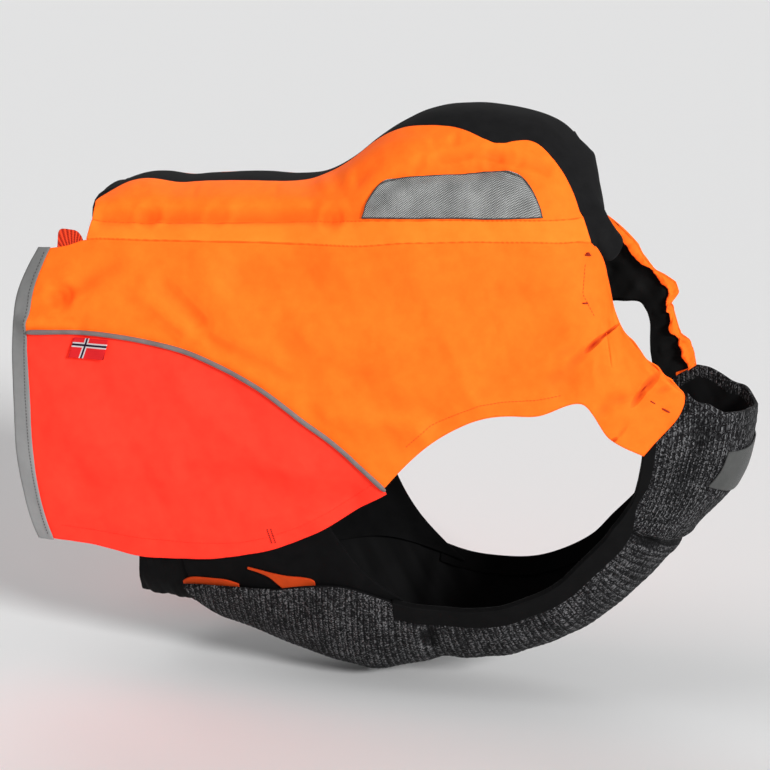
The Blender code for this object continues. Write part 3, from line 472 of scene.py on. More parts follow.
def wave(finish, source, pitch):
    """A sine of a coordinate with that pitch in metres, as a node."""
    return maths(finish, "SINE", maths(finish, "MULTIPLY", source, 2 * math.pi / pitch))


def blended(finish, factor, first, second):
    """Two colours mixed by a factor. Each is three numbers or a pair of a node and its output."""
    made = add_node(finish, "Mix", data_type="RGBA", n0=factor)
    for spot, value in (("n6", first), ("n7", second)):
        feed(finish, made, **{spot: (*value, 1.0) if len(value) == 3 else value})
    return made, 2


def near_rim(finish, width):
    """1 at a piece's rim, falling to 0 at that distance from it."""
    return ranged(finish, attribute(finish, "edge"), width * 0.4, width, 1.0, 0.0)


def pinch_shade_and_dent(finish, place, rows):
    """1 along the bottom of each pinch of a table, 0 away from them: where painted shade darkens
    the cloth and the bump dents it.
    """
    marks = None
    for *sizes, strength in rows:
        start_x, start_z, end_x, end_z, half_width = (size / STEPS_A_METRE for size in sizes)
        length = math.hypot(end_x - start_x, end_z - start_z)
        spot = add_node(finish, "Mapping", vector_type="TEXTURE", Vector=place,
                        Location=((start_x + end_x) / 2, 0.0, (start_z + end_z) / 2),
                        Rotation=(0.0, -math.atan2(end_z - start_z, end_x - start_x), 0.0),
                        Scale=(length / 2, 1000.0, half_width))
        core = add_node(finish, "TexGradient", Vector=spot, gradient_type="SPHERICAL")
        mark = maths(finish, "MULTIPLY", maths(finish, "POWER", (core, "Fac"), 0.65), strength)
        marks = maths(finish, "SMOOTH_MAX", mark, marks, 0.1) if marks else mark
    return marks


MOTTLE_SCALE = 120.0
SEAM_WIDTH = 0.0006
PINCH_DEPTH = 0.0022
# The colour of the painted shade at the bottom of a pinch.
PINCH_SHADE_COLOUR = (0.28, 0.010, 0.002)
# The colour of a painted glow: the shell cloth gives off a little red, though it is no lamp, so its
# red stays bright in shade.
PAINTED_GLOW_COLOUR = (1.0, 0.0, 0.0, 1.0)


def woven_finish(name, shades, thread=0.0003, roughness=0.75, bump=0.10, gloss=0.12, glow=0.0,
                 seam=None, deep=None, pinches=(), inner=None, height_tones=None, spread=(0.25, 0.75)):
    """Plain-woven cloth: crossed threads in the bump, a colour mottled between two shades, painted
    shade that deepens it in the folds and darkens it along the pinches, darker seam edges, a
    painted glow where one is given, and an inner face of its own colour where inner is given. Where
    two heights and a tone at each are given, the colour moves from the one tone to the other
    between them."""
    finish, shader = new_finish(name, roughness, gloss)
    _grain, parts = grain_parts(finish)
    crossing = maths(finish, "MULTIPLY", wave(finish, (parts, "X"), 2 * thread),
                     wave(finish, (parts, "Y"), 2 * thread))
    place = object_place(finish)
    patches = add_node(finish, "TexNoise", Vector=place, Scale=MOTTLE_SCALE, Detail=4.0,
                       Roughness=0.6)
    height = maths(finish, "MULTIPLY_ADD", crossing, 0.35, patches)
    surface = add_node(finish, "Bump", Strength=bump, Distance=thread, Height=height)
    tone = patches
    if height_tones:
        upright = add_node(finish, "SeparateXYZ", Vector=place)
        height_share = ranged(finish, (upright, "Z"), *height_tones)
        tone = maths(finish, "MULTIPLY_ADD", patches, 0.35, height_share)
    stops = [(part, *shade) for part, shade in zip(spread, shades)]
    colour = (colour_ramp(finish, tone, stops), "Color")
    # Painted shade: the colour grows deeper in the folds.
    if deep:
        share = maths(finish, "MULTIPLY", attribute(finish, "fold"), 0.7)
        colour = blended(finish, share, colour, deep)
    # Painted shade along the bottoms of the pinches, which the bump also dents.
    if pinches:
        marks = pinch_shade_and_dent(finish, place, pinches)
        colour = blended(finish, marks, colour, PINCH_SHADE_COLOUR)
        surface = add_node(finish, "Bump", Strength=1.0, Distance=PINCH_DEPTH, Normal=surface,
                           Height=maths(finish, "MULTIPLY", marks, -1.0))
    if seam:
        colour = blended(finish, near_rim(finish, SEAM_WIDTH), colour, seam)
    # Painted glow: a constant red emission that keeps the cloth bright red in its shade.
    if glow:
        feed(finish, shader, Emission_Color=PAINTED_GLOW_COLOUR, Emission_Strength=glow)
    if inner:
        within = attribute(finish, "inside")
        colour = blended(finish, within, colour, inner)
        feed(finish, shader,
             Emission_Strength=maths(finish, "MULTIPLY_ADD", within, -glow, glow))
    feed(finish, shader, Base_Color=colour, Normal=surface,
         Roughness=ranged(finish, patches, 0.0, 1.0, roughness - 0.06, roughness + 0.06))
    return finish


# The sharp bottoms of the pinches that the elastic makes across the strap, seen from the side,
# in tenths of a millimetre. Columns: start_x, start_z, end_x, end_z, half_width, strength.
# Painted shade darkens the cloth along each of these bottoms, by its strength.
STRAP_PINCHES = (
    (2400, -755, 2225, -898, 13, 1.0), (2310, -820, 2160, -970, 23, 1.0),
    (2240, -880, 2020, -1110, 46, 0.34), (2170, -970, 1880, -1230, 80, 0.24),
    (2160, -900, 1950, -1000, 50, 0.2), (2670, -1075, 2530, -1235, 36, 0.7),
    (2600, -1150, 2482, -1325, 30, 0.72), (2625, -1120, 2505, -1265, 11, 0.9),
    (2760, -1160, 2640, -1225, 32, 0.32), (2345, -1575, 2410, -1520, 16, 0.7),
    (2385, -1545, 2475, -1430, 20, 0.28), (2250, -1405, 2350, -1275, 50, 0.2),
    (2330, -1290, 2510, -1240, 45, 0.24),
)
SHELL_THREAD = 0.00035
# How strongly the shell cloth gives off its painted glow.
SHELL_PAINTED_GLOW = 0.30
INNER_BLACK = (0.0065, 0.0065, 0.0065)
# The shell's orange: two shades, a painted glow, darker seam edges and painted shade in the folds.
ORANGE = {"shades": ((1.0, 0.190, 0.012), (1.0, 0.230, 0.017)),
          "thread": SHELL_THREAD, "bump": 0.12, "glow": SHELL_PAINTED_GLOW,
          "seam": (1.0, 0.135, 0.009), "deep": (0.98, 0.085, 0.004)}
TIGHT_HALF_WIDTH = 0.012
TIGHT_FADE = 0.03
HEM_LINE = 0.0080
HEM_LINE_WIDTH = 0.0030
HEM_LINE_DEPTH = 0.00030
HEM_LINE_FADE = 0.05


def plain_lift(points, _edge, _inside):
    """The relief that all layers of the side share: creases, and slow waves that fade out
    towards the tight back strip."""
    loose = np.clip((np.abs(points[:, 1]) - TIGHT_HALF_WIDTH) / TIGHT_FADE, 0.0, 1.0)
    return loose * (crease_relief(points, SIDE_CREASES) + slack(points, 0.065, 0.0013)
                    + slack(points, 0.021, 0.00026))


def side_lift(points, edge, inside):
    """The relief of the side cloth, with the soft line where its hem is turned in."""
    hem = -HEM_LINE_DEPTH * np.exp(-((edge - HEM_LINE) / HEM_LINE_WIDTH) ** 2)
    return plain_lift(points, edge, inside) + hem * np.clip(points[:, 0] / HEM_LINE_FADE, 0.0, 1.0)


strap_cloth = woven_finish("orange_strap_cloth", pinches=STRAP_PINCHES, inner=INNER_BLACK,
                           **ORANGE)
main_pieces = cloth_pair("main_panel", strap_cloth, "orange_shell", side_lift, (0.17, 0.47),
                         "draped", "back_strip", (0.0467, 0.0427), drawn=True, calm=240)


# Sewing on the main panels. A row of short stitches round the leg edge and down the neck hem, and
# small dark bars of thread that lock the hem at the neck edge and the strap's front edge.
STITCH_GAP = 0.0009
MOST_STRETCH = 1.6
RAY_START = 0.3
# Columns: place along a stitch, share of its half width.
STITCH_FORM = ((0.0, 0.35), (0.2, 1.0), (0.8, 1.0), (1.0, 0.35))
# All places of stitches are in tenths of a millimetre. Columns: x, z.
LEG_STITCHES = (
    (990, -1650), (1160, -1490), (1313, -1414), (1487, -1337), (1640, -1305), (1854, -1285),
    (2040, -1245),
)
NECK_STITCHES = ((2157, -375), (2155, -563), (2238, -720))
# Columns: x, z, end_x, end_z, half_width.
THREAD_BARS = (
    (2150, -313, 2192, -315, 7), (2158, -302, 2182, -303, 6), (2154, -622, 2192, -624, 6),
    (2611, -1272, 2645, -1293, 4), (2688, -1322, 2741, -1350, 6),
)
# The left strap's neck edge runs otherwise than the right one's. Columns: z, difference in x.
LEFT_SHIFT = ((-1350, -140), (-1280, -135), (-1000, -36), (-620, 28), (-380, -111), (-300, -183))


def beside_neck_edge(line, side):
    """A line of (x, z) places, given for the right side, as it lies beside its side's neck edge."""
    if side == "right":
        return line
    return [(x + np.interp(z, *zip(*LEFT_SHIFT)), z) for x, z in line]


def add_ring(shape, middle, first, second, radius, count):
    """A ring of corners round a spot, in the plane of two directions."""
    turns = [math.radians(360 / count * corner) for corner in range(count)]
    return [shape.verts.new(middle + (first * math.cos(turn) + second * math.sin(turn)) * radius)
            for turn in turns]


def add_skin(shape, rings):
    """Faces between rings of corners, and over both ends."""
    for lower, upper in zip(rings, rings[1:]):
        for corner in range(len(lower)):
            after = (corner + 1) % len(lower)
            shape.faces.new((lower[corner], lower[after], upper[after], upper[corner]))
    shape.faces.new(rings[0][::-1])
    shape.faces.new(rings[-1])


def closed_mesh(name, shape):
    bmesh.ops.recalc_face_normals(shape, faces=shape.faces)
    mesh = bpy.data.meshes.new(name)
    shape.to_mesh(mesh)
    shape.free()
    return mesh


def sew(name, piece, side_sign, lines, finish, length, half_width, gap=STITCH_GAP):
    """Stitches along lines of (x, z) places, laid on a piece's outer face, as one joined mesh.
    Each is round in section, with its ends in the cloth."""
    mesh = piece.data
    faces = BVHTree.FromPolygons([corner.co for corner in mesh.vertices],
                                 [face.vertices for face in mesh.polygons])
    threads = bmesh.new()

    def on_cloth(x, z):
        return faces.ray_cast(Vector((x, side_sign * RAY_START, z)),
                              Vector((0.0, -side_sign, 0.0)))[:2]

    for line in lines:
        path = np.array(line) / STEPS_A_METRE
        reach = np.concatenate(([0.0], np.cumsum(np.hypot(*np.diff(path, axis=0).T))))
        place = 0.0
        while place + length <= reach[-1] + 1e-6:
            (start, first_normal), (end, end_normal) = [
                on_cloth(np.interp(spot, reach, path[:, 0]), np.interp(spot, reach, path[:, 1]))
                for spot in (place, place + length)]
            place += length + gap
            if start is None or end is None or (end - start).length > MOST_STRETCH * length:
                continue
            normal = (first_normal + end_normal).normalized()
            start, end = (spot + normal * half_width * 0.5 for spot in (start, end))
            across = (end - start).normalized().cross(normal).normalized()
            add_skin(threads, [
                add_ring(threads, start.lerp(end, part), across, normal, half_width * girth, 6)
                for part, girth in STITCH_FORM])
    add_piece(name, closed_mesh(name, threads), finish)


def thread_finish(name, light, dark):
    """Twisted thread: fine slanting stripes of two close tones."""
    finish, shader = new_finish(name, 0.6, 0.2)
    twist = add_node(finish, "TexWave", Vector=object_place(finish), Scale=900.0,
                     bands_direction="DIAGONAL")
    feed(finish, shader, Base_Color=blended(finish, twist, dark, light))
    return finish


orange_thread = thread_finish("orange_thread", (0.42, 0.045, 0.008), (0.26, 0.028, 0.006))
bar_thread = thread_finish("dark_red_thread", (0.48, 0.034, 0.010), (0.24, 0.016, 0.007))
for side, sign in SIDES:
    sew("main_panel_stitches_" + side, main_pieces[side], sign,
        (LEG_STITCHES, beside_neck_edge(NECK_STITCHES, side)), orange_thread,
        0.0015, 0.00020)
    for number, (x, z, end_x, end_z, half_width) in enumerate(THREAD_BARS):
        bar = beside_neck_edge(((x, z), (end_x, end_z)), side)
        sew("thread_bar_%s_%d" % (side, number), main_pieces[side], sign, (bar,), bar_thread,
            math.dist(*bar) / STEPS_A_METRE, half_width / STEPS_A_METRE)


# Upper side panels. Orange shell cloth from the back strip down to the flat band, over which it
# sags in a long soft trough. It puckers where it is sewn to the back strip.
orange_cloth = woven_finish("orange_shell_cloth", **ORANGE)
cloth_pair("upper_panel", orange_cloth, "orange_shell", side_lift, (0.08, 0.35), "draped",
           "back_strip", (0.0188, 0.0179))


# Flat zip bands. A narrow folded strip of the same cloth that covers a zip, sewn down along both
# edges, so it lies a little flatter than the panels. Its colours are painted lighter, as painted
# light.
# A lighter copy of the shell's orange, as painted light on the flatter band.
band_cloth_painted_light = woven_finish(
    "orange_band_cloth_painted_light", ((1.0, 0.225, 0.016), (1.0, 0.260, 0.022)), SHELL_THREAD,
    glow=SHELL_PAINTED_GLOW, seam=(1.0, 0.150, 0.010), deep=(0.95, 0.090, 0.005))
cloth_pair("zip_band", band_cloth_painted_light, "orange_shell", side_lift, (0.018, 0.36), "stretched",
           "main_panel_cloth_", (0.0060, 0.0055))


# Rear corner cords. A thin black cord edges the upper panel's rear end, from the back strip down
# to the main panel, where the lining is folded out over the seam.
# Columns: x, distance from the middle, z, in tenths of a millimetre.
CORD_PATH = (
    (-1310, 180, -102), (-1345, 230, -120), (-1366, 290, -140), (-1376, 340, -170),
    (-1375, 385, -208), (-1364, 425, -248), (-1350, 470, -292), (-1346, 510, -340),
    (-1354, 540, -387), (-1368, 560, -425),
)
CORD_RADIUS = 0.0009
END_GIRTH = 0.5
black_cord = woven_finish("black_cord_cloth", ((0.008, 0.008, 0.009), (0.014, 0.014, 0.015)),
                          roughness=0.7, bump=0.2)
for side, sign in SIDES:
    path = [Vector((x, sign * y, z)) / STEPS_A_METRE for x, y, z in CORD_PATH]
    cord = bmesh.new()
    rings = []
    for index, spot in enumerate(path):
        before, after = path[max(index - 1, 0)], path[min(index + 1, len(path) - 1)]
        along = (after - before).normalized()
        across = along.cross(Vector((1.0, 0.0, 0.0))).normalized()
        girth = END_GIRTH if index in (0, len(path) - 1) else 1.0
        rings.append(add_ring(cord, spot, across, along.cross(across), CORD_RADIUS * girth, 8))
    add_skin(cord, rings)
    cord_mesh = closed_mesh("rear_corner_cord_" + side, cord)
    points = mesh_points(cord_mesh)
    lay_grain(cord_mesh, points[:, 2], points[:, 1])
    add_piece("rear_corner_cord_" + side, cord_mesh, black_cord)


# Flank panels. Fluorescent red woven cloth under the piping, with a free rounded hem that is
# turned in and sewn.
# The red also has a painted glow, and painted shade in its folds.
red_cloth = woven_finish(
    "red_shell_cloth", ((1.0, 0.046, 0.024), (1.0, 0.060, 0.030)), SHELL_THREAD,
    bump=0.14, glow=SHELL_PAINTED_GLOW, seam=(0.90, 0.034, 0.017), deep=(0.95, 0.022, 0.012),
    inner=INNER_BLACK)
# Columns: x, z.
RED_STITCHES = (
    (-1560, -2435), (-1268, -2452), (-963, -2473), (-583, -2468), (-205, -2427), (21, -2360),
    (242, -2264), (460, -2138), (637, -2017), (760, -1920),
)
RED_BARS = (((8, -2300), (36, -2405)), ((34, -2295), (62, -2400)))
red_thread = thread_finish("red_thread", (0.80, 0.040, 0.020), (0.55, 0.025, 0.014))
red_bar_thread = thread_finish("red_bar_thread", (0.34, 0.013, 0.010), (0.18, 0.008, 0.006))
flanks = cloth_pair("flank_panel", red_cloth, "red_shell", side_lift, (0.155, 0.28), "draped",
                    "main_panel_cloth_", (0.0334, 0.0334))
for side, sign in SIDES:
    sew("flank_hem_stitches_" + side, flanks[side], sign, (RED_STITCHES,), red_thread,
        0.0021, 0.00018)
    sew("flank_hem_bar_" + side, flanks[side], sign, RED_BARS, red_bar_thread,
        0.0010, 0.0005, gap=0.0004)


# Piping. A cord wrapped in a grey reflective strip, sewn into the seam over the flank panel.
piping_finish = woven_finish("reflective_piping_cloth",
                             ((0.175, 0.150, 0.145), (0.235, 0.200, 0.195)),
                             roughness=0.5, bump=0.12)
cloth_pair("piping", piping_finish, "reflective_tape", plain_lift, (0.0105, 0.25), "stretched",
           "flank_panel_cloth_", (0.0013, 0.0013), rounds=2, rim=0.0)


# Rear hem tape. Grey reflective tape folded round the rear hem and sewn near its inner edge. It is
# coloured lighter towards the bottom.
# Columns: x, z.
TAPE_STITCHES = (
    (-1668, -500), (-1694, -577), (-1722, -658), (-1745, -765), (-1758, -900), (-1764, -1027),
    (-1765, -1131), (-1768, -1503), (-1750, -1878), (-1713, -2253), (-1676, -2530),
)
# Two heights, near the top and the bottom, and the tone at each.
TAPE_HEIGHT_TONES = (-0.07, -0.24, -0.02, 0.72)
tape_finish = woven_finish("reflective_tape_cloth",
                           ((0.16, 0.16, 0.157), (0.34, 0.345, 0.345)),
                           roughness=0.5, height_tones=TAPE_HEIGHT_TONES, spread=(0.0, 1.0))
tape_thread = thread_finish("grey_thread", (0.10, 0.10, 0.10), (0.05, 0.05, 0.05))
tapes = cloth_pair("rear_tape", tape_finish, "reflective_tape", plain_lift, (0.025, 0.235),
                   "folded", "flank_panel_cloth_", rounds=2)
for side, sign in SIDES:
    sew("rear_tape_stitches_" + side, tapes[side], sign, (TAPE_STITCHES,), tape_thread,
        0.0014, 0.00028)


# Mesh patches. Grey reflective cloth with a fine diagonal weave, laid on the upper panel and
# sewn down with dark thread along its edge.
MESH_THREAD = 0.00125
MESH_SLANT = 1.3
MESH_COUNTER_SLANT = -2.4
MESH_EDGE = 0.0011


def mesh_cloth():
    finish, shader = new_finish("reflective_mesh_cloth", 0.55, 0.2)
    _grain, parts = grain_parts(finish)
    slant = maths(finish, "MULTIPLY_ADD", (parts, "Y"), MESH_SLANT, (parts, "X"))
    counter = maths(finish, "MULTIPLY_ADD", (parts, "Y"), MESH_COUNTER_SLANT, (parts, "X"))
    drift = add_node(finish, "TexNoise", Vector=object_place(finish), Scale=60.0, Detail=3.0)
    both = maths(finish, "MULTIPLY_ADD", wave(finish, counter, MESH_THREAD * 2.2), 0.5,
                 wave(finish, slant, MESH_THREAD))
    level = ranged(finish, maths(finish, "MULTIPLY_ADD", drift, 1.6, both), -0.7, 2.1)
    ramp = colour_ramp(finish, level, ((0.12, 0.030, 0.032, 0.031), (0.50, 0.145, 0.148, 0.145),
                                       (0.90, 0.60, 0.61, 0.60)))
    surface = add_node(finish, "Bump", Strength=0.5, Distance=0.0003, Height=both)
    feed(finish, shader, Normal=surface,
         Base_Color=blended(finish, near_rim(finish, MESH_EDGE), (ramp, "Color"),
                            (0.05, 0.045, 0.04)))
    return finish


cloth_pair("mesh_patch", mesh_cloth(), "reflective_mesh", plain_lift, (0.034, 0.125), "laid",
           "upper_panel_cloth_", (0.0035, 0.0035))


# Back strip. Black smooth stretch cloth, narrow over the loin and wide over the withers, with a
# rounded lobe in front of each shoulder and a free edge at the nape.
black_stretch = woven_finish("black_stretch_cloth",
                             ((0.0095, 0.0095, 0.0100), (0.0140, 0.0140, 0.0145)),
                             roughness=0.85, gloss=0.04)


def back_lift(points, edge, inside):
    return plain_lift(points, edge, inside) + slack(points, 0.033, 0.0002)


cloth_piece("back_strip_cloth", "back_strip", black_stretch, "black_stretch", back_lift,
            (0.13, 0.45), "stretched", "upper_panel_cloth_right", 0.0235)


# Lining. Thin black woven cloth inside each side, seen through the neck, rear and leg openings.
# It hangs a little loose, so it shows small soft wrinkles.
black_lining = woven_finish("black_lining_cloth",
                            ((0.0055, 0.0055, 0.0055), (0.0085, 0.0085, 0.0085)),
                            thread=0.00025, roughness=0.7)
LINING_TIGHT = 0.02


def lining_lift(points, edge, inside):
    loose = np.clip(edge / LINING_TIGHT, 0.0, 1.0) * inside
    return plain_lift(points, edge, inside) + slack(points, 0.030, 0.0012) * loose


cloth_pair("lining", black_lining, "black_lining", lining_lift, (0.26, 0.50), "draped",
           "main_panel_cloth_", (0.0801, 0.0750), rounds=2, drawn=True)


# Neck hem. The orange shell cloth is turned in along the neck edge and gathered by elastic.
HEM_SIZES = {"right": (0.011, 0.10), "left": (0.011, 0.125)}
HEM_GATHER = 0.0095
HEM_GATHER_HEIGHT = 0.00055


def hem_lift(points, edge, inside):
    """Gathers that run across the hem, uneven along it."""
    along = 0.66 * points[:, 0] - 0.75 * points[:, 2]
    turn = 2 * math.pi * along / HEM_GATHER
    gathers = np.sin(turn + 1.1 * np.sin(0.37 * turn)) + 0.5 * np.sin(2.3 * turn + 0.6)
    return plain_lift(points, edge, inside) + HEM_GATHER_HEIGHT * gathers * inside


for side, _sign in SIDES:
    cloth_piece("neck_hem_cloth_" + side, "neck_hem_" + side, orange_cloth, "orange_shell",
                hem_lift, HEM_SIZES[side], "gathered", "lining_cloth_" + side, drawn=True)


# Breast collar and belly panel. Dark grey melange knit whose ribs run across the strip, with a
# smooth black backing. The collar's lip is turned in, and a seam at the lower breast joins them.
# Columns: x, z of the strip's inner edge, from the strap's end round to the rear, in tenths of a
# millimetre.
KNIT_LINE = (
    (2680, -1100), (2720, -1500), (2620, -2000), (2320, -2420), (1850, -2680), (1200, -2820),
    (400, -2760), (-700, -2680),
)
KNIT_HALF_WIDTH = 0.068
KNIT_DEPTH = 0.055
RIB_PITCH = 0.0042
RIB_HEIGHT = 0.00015
COLUMN_PITCH = 0.0021
COLLAR_LIP = 0.0075
BELLY_LIP = 0.0008
LIP_FOOT = -0.190
KNIT_RIM = 0.004
KNIT_LOOSE = 0.01

# Folds of the knit, seen from the side, with the same columns and unit as the side creases.
KNIT_CREASES = (
    (0, 2450, -2205, 2600, -2318, 42, -28, -36), (0, 2600, -2318, 2760, -2385, 42, -36, -20),
    (-1, 1130, -2930, 1068, -3112, 50, -24, -32), (-1, 1068, -3112, 1100, -3300, 60, -32, -8),
    (-1, 1230, -2980, 1190, -3200, 50, 12, 10), (1, 830, -2900, 800, -3150, 60, -14, -8),
    (-1, 2850, -1290, 2800, -1450, 30, -10, -4), (-1, 2925, -1300, 2900, -1420, 28, 10, 3),
    (-1, 2990, -1310, 2960, -1440, 28, -9, -3), (0, 2960, -1480, 2860, -1750, 70, -24, -18),
    (0, 2860, -1750, 2760, -1950, 70, -18, -6),
)


def knit_grain(points):
    """Along the strip round the leg opening, and across it from its keel."""
    rough = np.array(KNIT_LINE) / STEPS_A_METRE
    places = np.linspace(0.0, len(rough) - 1.0, 71)
    line = np.column_stack([np.interp(places, range(len(rough)), rough[:, part])
                            for part in (0, 1)])
    for _ in range(12):
        line[1:-1] = (line[:-2] + 2 * line[1:-1] + line[2:]) / 4
    steps = np.diff(line, axis=0)
    lengths = np.hypot(*steps.T)
    offset = points[:, None, (0, 2)] - line[None, :-1]
    part = np.clip((offset * steps).sum(axis=2) / lengths ** 2, 0.0, 1.0)
    gap = offset - part[:, :, None] * steps
    best = np.hypot(gap[:, :, 0], gap[:, :, 1]).argmin(axis=1)
    rows = np.arange(len(points))
    along = (np.cumsum(lengths) - lengths)[best] + part[rows, best] * lengths[best]
    beyond = (gap[rows, best] * np.column_stack((-steps[best, 1], steps[best, 0]))).sum(axis=1)
    depth = beyond / lengths[best]
    turn = np.arctan2(points[:, 1] / KNIT_HALF_WIDTH, np.maximum(depth / KNIT_DEPTH, -0.6) + 0.02)
    return along, turn * (KNIT_HALF_WIDTH + KNIT_DEPTH) / 2


def collar_grain(points):
    """The collar is knitted the other way round, so that its ribs run along the strip."""
    return knit_grain(points)[::-1]


def knit_finish(name, lip):
    """Melange rib knit: columns of small stitches, each a random light or dark grey. Inside the
    piece, beyond the lip's width from a rim, it is the smooth black backing."""
    finish, shader = new_finish(name, 0.85, 0.1)
    grain, parts = grain_parts(finish)
    cells = add_node(finish, "Mapping", Vector=grain, Scale=(1150.0, 1250.0, 1.0))
    specks = add_node(finish, "TexVoronoi", Vector=cells, Scale=1.0, Randomness=0.55)
    grey = add_node(finish, "SeparateColor", Color=(specks, "Color"))
    place = object_place(finish)
    drift = add_node(finish, "TexNoise", Vector=place, Scale=45.0, Detail=2.0)
    columns = wave(finish, (parts, "X"), COLUMN_PITCH)
    tone = grey
    # The rib and column waves darken the knit between its ribs and columns, and the folds darken
    # it, all as painted shade.
    for source, share in ((drift, 0.5), (wave(finish, (parts, "X"), RIB_PITCH), 0.14),
                          (columns, 0.10), (attribute(finish, "fold"), -0.80)):
        tone = maths(finish, "MULTIPLY_ADD", source, share, tone)
    ramp = colour_ramp(finish, ranged(finish, tone, 0.15, 1.35), (
        (0.15, 0.0035, 0.0035, 0.0038), (0.50, 0.013, 0.013, 0.014),
        (0.72, 0.042, 0.042, 0.044), (0.95, 0.160, 0.160, 0.165)))
    beyond = ranged(finish, attribute(finish, "edge"), lip, lip + 0.0006)
    upright = add_node(finish, "SeparateXYZ", Vector=place)
    low = ranged(finish, (upright, "Z"), LIP_FOOT + 0.01, LIP_FOOT)
    backing = maths(finish, "MULTIPLY", attribute(finish, "inside"),
                    maths(finish, "MAXIMUM", beyond, low))
    height = maths(finish, "MULTIPLY", maths(finish, "MULTIPLY_ADD", columns, 0.3, grey),
                   maths(finish, "SUBTRACT", 1.0, backing))
    feed(finish, shader,
         Base_Color=blended(finish, backing, (ramp, "Color"), (0.0055, 0.0055, 0.0058)),
         Normal=add_node(finish, "Bump", Strength=0.7, Distance=0.0006, Height=height))
    return finish


def knit_slack(points):
    return crease_relief(points, KNIT_CREASES) + slack(points, 0.045, 0.0006)


def knit_lift(points, edge, inside):
    """The knit's ribs, folds and slack, with looser wrinkles in its backing."""
    along, _across = knit_grain(points)
    ribs = RIB_HEIGHT * np.sin(2 * math.pi * along / RIB_PITCH)
    wrinkles = slack(points, 0.026, 0.0011) + slack(points, 0.011, 0.0004)
    return (ribs * np.clip(edge / KNIT_RIM, 0.0, 1.0) * (1 - inside) + knit_slack(points)
            + wrinkles * inside * np.clip((edge - KNIT_RIM) / KNIT_LOOSE, 0.0, 1.0))


cloth_piece("breast_collar_knit", "breast_collar",
            knit_finish("grey_melange_knit_collar", COLLAR_LIP), "grey_knit", knit_lift,
            (0.115, 0.24), "stretched", "main_panel_cloth_right", 0.0191, grain=collar_grain,
            folds=KNIT_CREASES)
cloth_piece("belly_panel_knit", "belly_panel",
            knit_finish("grey_melange_knit_belly", BELLY_LIP), "grey_knit", knit_lift,
            (0.19, 0.42), "stretched", "breast_collar_knit", 0.0651, grain=knit_grain,
            folds=KNIT_CREASES)


# Leg opening binding. Smooth black elastic sewn flat along the edge of the knit.
binding_finish = woven_finish("black_binding_cloth",
                              ((0.0036, 0.0036, 0.0038), (0.0058, 0.0058, 0.0060)),
                              roughness=0.7, bump=0.12, gloss=0.06)


def binding_lift(points, _edge, _inside):
    return slack(points, 0.045, 0.0006)


cloth_pair("leg_binding", binding_finish, "black_binding", binding_lift, (0.0145, 0.56),
           "stretched", "belly_panel_knit")


# Side gussets and rear belly piece. Black stretch cloth: the gusset joins the flank's inside to
# the belly panel, and the rear belly piece is gathered on to elastic under the flanks.
GATHER_PITCH = 0.015
GATHER_RIM = 0.004
black_gusset = woven_finish("black_gusset_cloth",
                            ((0.0036, 0.0036, 0.0038), (0.0060, 0.0060, 0.0063)),
                            roughness=0.8, gloss=0.05)


def gather_lift(points, edge, inside):
    """Long shallow gathers towards the elastic."""
    turn = 2 * math.pi * points[:, 0] / GATHER_PITCH + 30 * points[:, 1]
    gathers = 0.00045 * np.sin(turn) + 0.00025 * np.sin(2.6 * turn + 1.0)
    return plain_lift(points, edge, inside) + gathers * np.clip(edge / GATHER_RIM, 0.0, 1.0)


cloth_pair("side_gusset", black_gusset, "black_stretch", plain_lift, (0.065, 0.12), "stretched",
           "flank_panel_cloth_", (0.0064, 0.0064))
cloth_piece("rear_belly_cloth", "rear_belly_piece", black_gusset, "black_stretch", gather_lift,
            (0.085, 0.20), "gathered", "flank_panel_cloth_right", 0.0154)


# Belly edge strips and flaps. A narrow strip of the orange cloth along the belly panel's upper
# edge, and a short flap of it where the belly panel meets the flank.
# Their orange is painted darker than the shell's and has no glow, as painted shade, for they lie in
# shadow.
edge_cloth_painted_shade = woven_finish(
    "orange_edge_cloth_painted_shade", ((0.50, 0.050, 0.007), (0.62, 0.066, 0.009)), SHELL_THREAD,
    bump=0.12, seam=(0.60, 0.040, 0.006))
for stem, node, length in (("belly_edge", "belly_edge_strip", 0.046),
                           ("belly_flap", "belly_edge_flap", 0.052)):
    cloth_pair(stem, edge_cloth_painted_shade, "orange_shell", plain_lift, (0.010, length), "laid",
               "belly_panel_knit", (0.0004, 0.0004), node)


# Breast patch. Plain grey reflective cloth with rounded corners at the centre front, which lies
# on the collar's folds.
patch_finish = woven_finish("reflective_patch_cloth",
                            ((0.058, 0.060, 0.058), (0.082, 0.084, 0.082)),
                            thread=0.0006, roughness=0.5, bump=0.2, seam=(0.05, 0.05, 0.05),
                            gloss=0.2)


def patch_lift(points, _edge, _inside):
    return knit_slack(points)


cloth_piece("breast_patch_cloth", "breast_patch", patch_finish, "reflective_tape", patch_lift,
            (0.052, 0.058), "laid", "breast_collar_knit", 0.0028, folds=KNIT_CREASES)


# Flag label. A small woven label with a white-edged dark blue cross on red, folded into the
# piping seam at the rear of the right side, from which it hangs.
CROSS_X = -0.1301
CROSS_Z = -0.1093
CROSS_LEAN = 0.333
WHITE_HALF = 0.00165
BLUE_HALF = 0.00075
# Where the label's right edge turns away: a dark red strip of painted shade, and its half width.
SHADED_EDGE_PLACE = 0.0176
SHADED_EDGE_HALF = 0.0011
LABEL_THREAD = 0.0006
LABEL_CLEARANCE = 0.0008


def label_grain(points):
    """Along the label from the upright bar, and up from the level bar."""
    up = points[:, 2] - CROSS_Z
    return points[:, 0] - CROSS_X - CROSS_LEAN * up, up


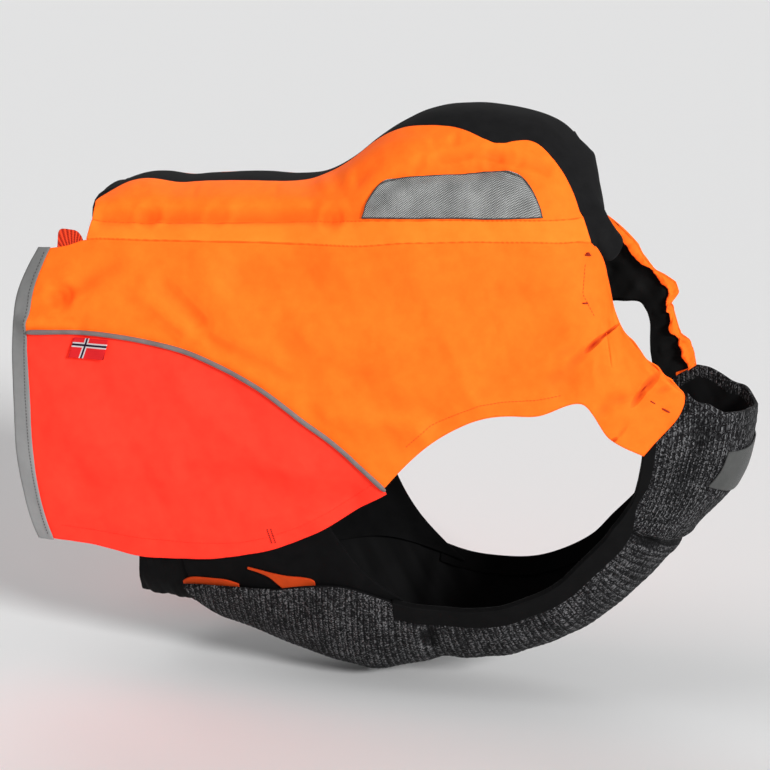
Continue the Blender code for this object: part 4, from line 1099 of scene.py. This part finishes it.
def label_finish():
    """The flag's woven colours: red, then the cross in white and in blue, and a dark red strip of
    painted shade where the edge turns away.
    """
    finish, shader = new_finish("woven_flag", 0.75, 0.15)
    _grain, parts = grain_parts(finish)

    def bar(output, middle, half):
        away = maths(finish, "ABSOLUTE", maths(finish, "SUBTRACT", (parts, output), middle))
        return ranged(finish, away, half - 0.0002, half + 0.0002, 1.0, 0.0)

    def cross(half):
        return maths(finish, "MAXIMUM", bar("X", 0.0, half), bar("Y", 0.0, half))

    threads = wave(finish, (parts, "Y"), LABEL_THREAD)
    colour = blended(finish, ranged(finish, threads, -1.0, 1.0), (0.66, 0.012, 0.016),
                     (0.82, 0.022, 0.026))
    for share, shade in ((cross(WHITE_HALF), (0.66, 0.60, 0.61)),
                         (cross(BLUE_HALF), (0.010, 0.004, 0.018)),
                         # The dark red strip is painted shade on the edge that turns away.
                         (bar("X", SHADED_EDGE_PLACE, SHADED_EDGE_HALF), (0.16, 0.002, 0.004))):
        colour = blended(finish, share, colour, shade)
    feed(finish, shader, Base_Color=colour,
         Normal=add_node(finish, "Bump", Strength=0.3, Distance=0.0002, Height=threads))
    return finish


def label_lift(points, edge, inside):
    """The relief of the cloth behind, with the label standing a little clear of it."""
    return plain_lift(points, edge, inside) + LABEL_CLEARANCE


cloth_piece("flag_label_cloth", "flag_label", label_finish(), "label_weave", label_lift,
            (0.015, 0.028), "hung", "piping_cloth_right", grain=label_grain)


# Pull loop. A short piece of ribbed orange-red elastic, doubled, behind the right band. Its ribs
# fan out from the seam that holds both ends.
LOOP_ROOT = (-0.1440, -0.0560)
LOOP_RADIUS = 0.012
LOOP_RIB = 0.0017
LOOP_KNOT = 0.0011


def loop_grain(points):
    """Round the fan of ribs from the loop's root, and out along them."""
    x = points[:, 0] - LOOP_ROOT[0]
    z = points[:, 2] - LOOP_ROOT[1]
    return np.arctan2(z, -x) * LOOP_RADIUS, np.hypot(x, z)


def loop_cloth():
    finish, shader = new_finish("ribbed_loop_elastic", 0.75, 0.15)
    _grain, parts = grain_parts(finish)
    both = maths(finish, "MULTIPLY_ADD", wave(finish, (parts, "Y"), LOOP_KNOT), 0.35,
                 wave(finish, (parts, "X"), LOOP_RIB))
    # Painted shade: the colour runs from dark red in the hollows between the ribs to bright
    # orange-red on their crests.
    ramp = colour_ramp(finish, ranged(finish, both, -1.2, 1.2), (
        (0.0, 0.30, 0.010, 0.004), (0.35, 0.85, 0.040, 0.012), (1.0, 1.0, 0.085, 0.022)))
    feed(finish, shader, Base_Color=ramp,
         Normal=add_node(finish, "Bump", Strength=0.6, Distance=0.0004, Height=both))
    return finish


cloth_piece("pull_loop_cloth", "pull_loop", loop_cloth(), "loop_elastic", plain_lift,
            (0.022, 0.030), "folded", "zip_band_cloth_right", 0.0004, grain=loop_grain)
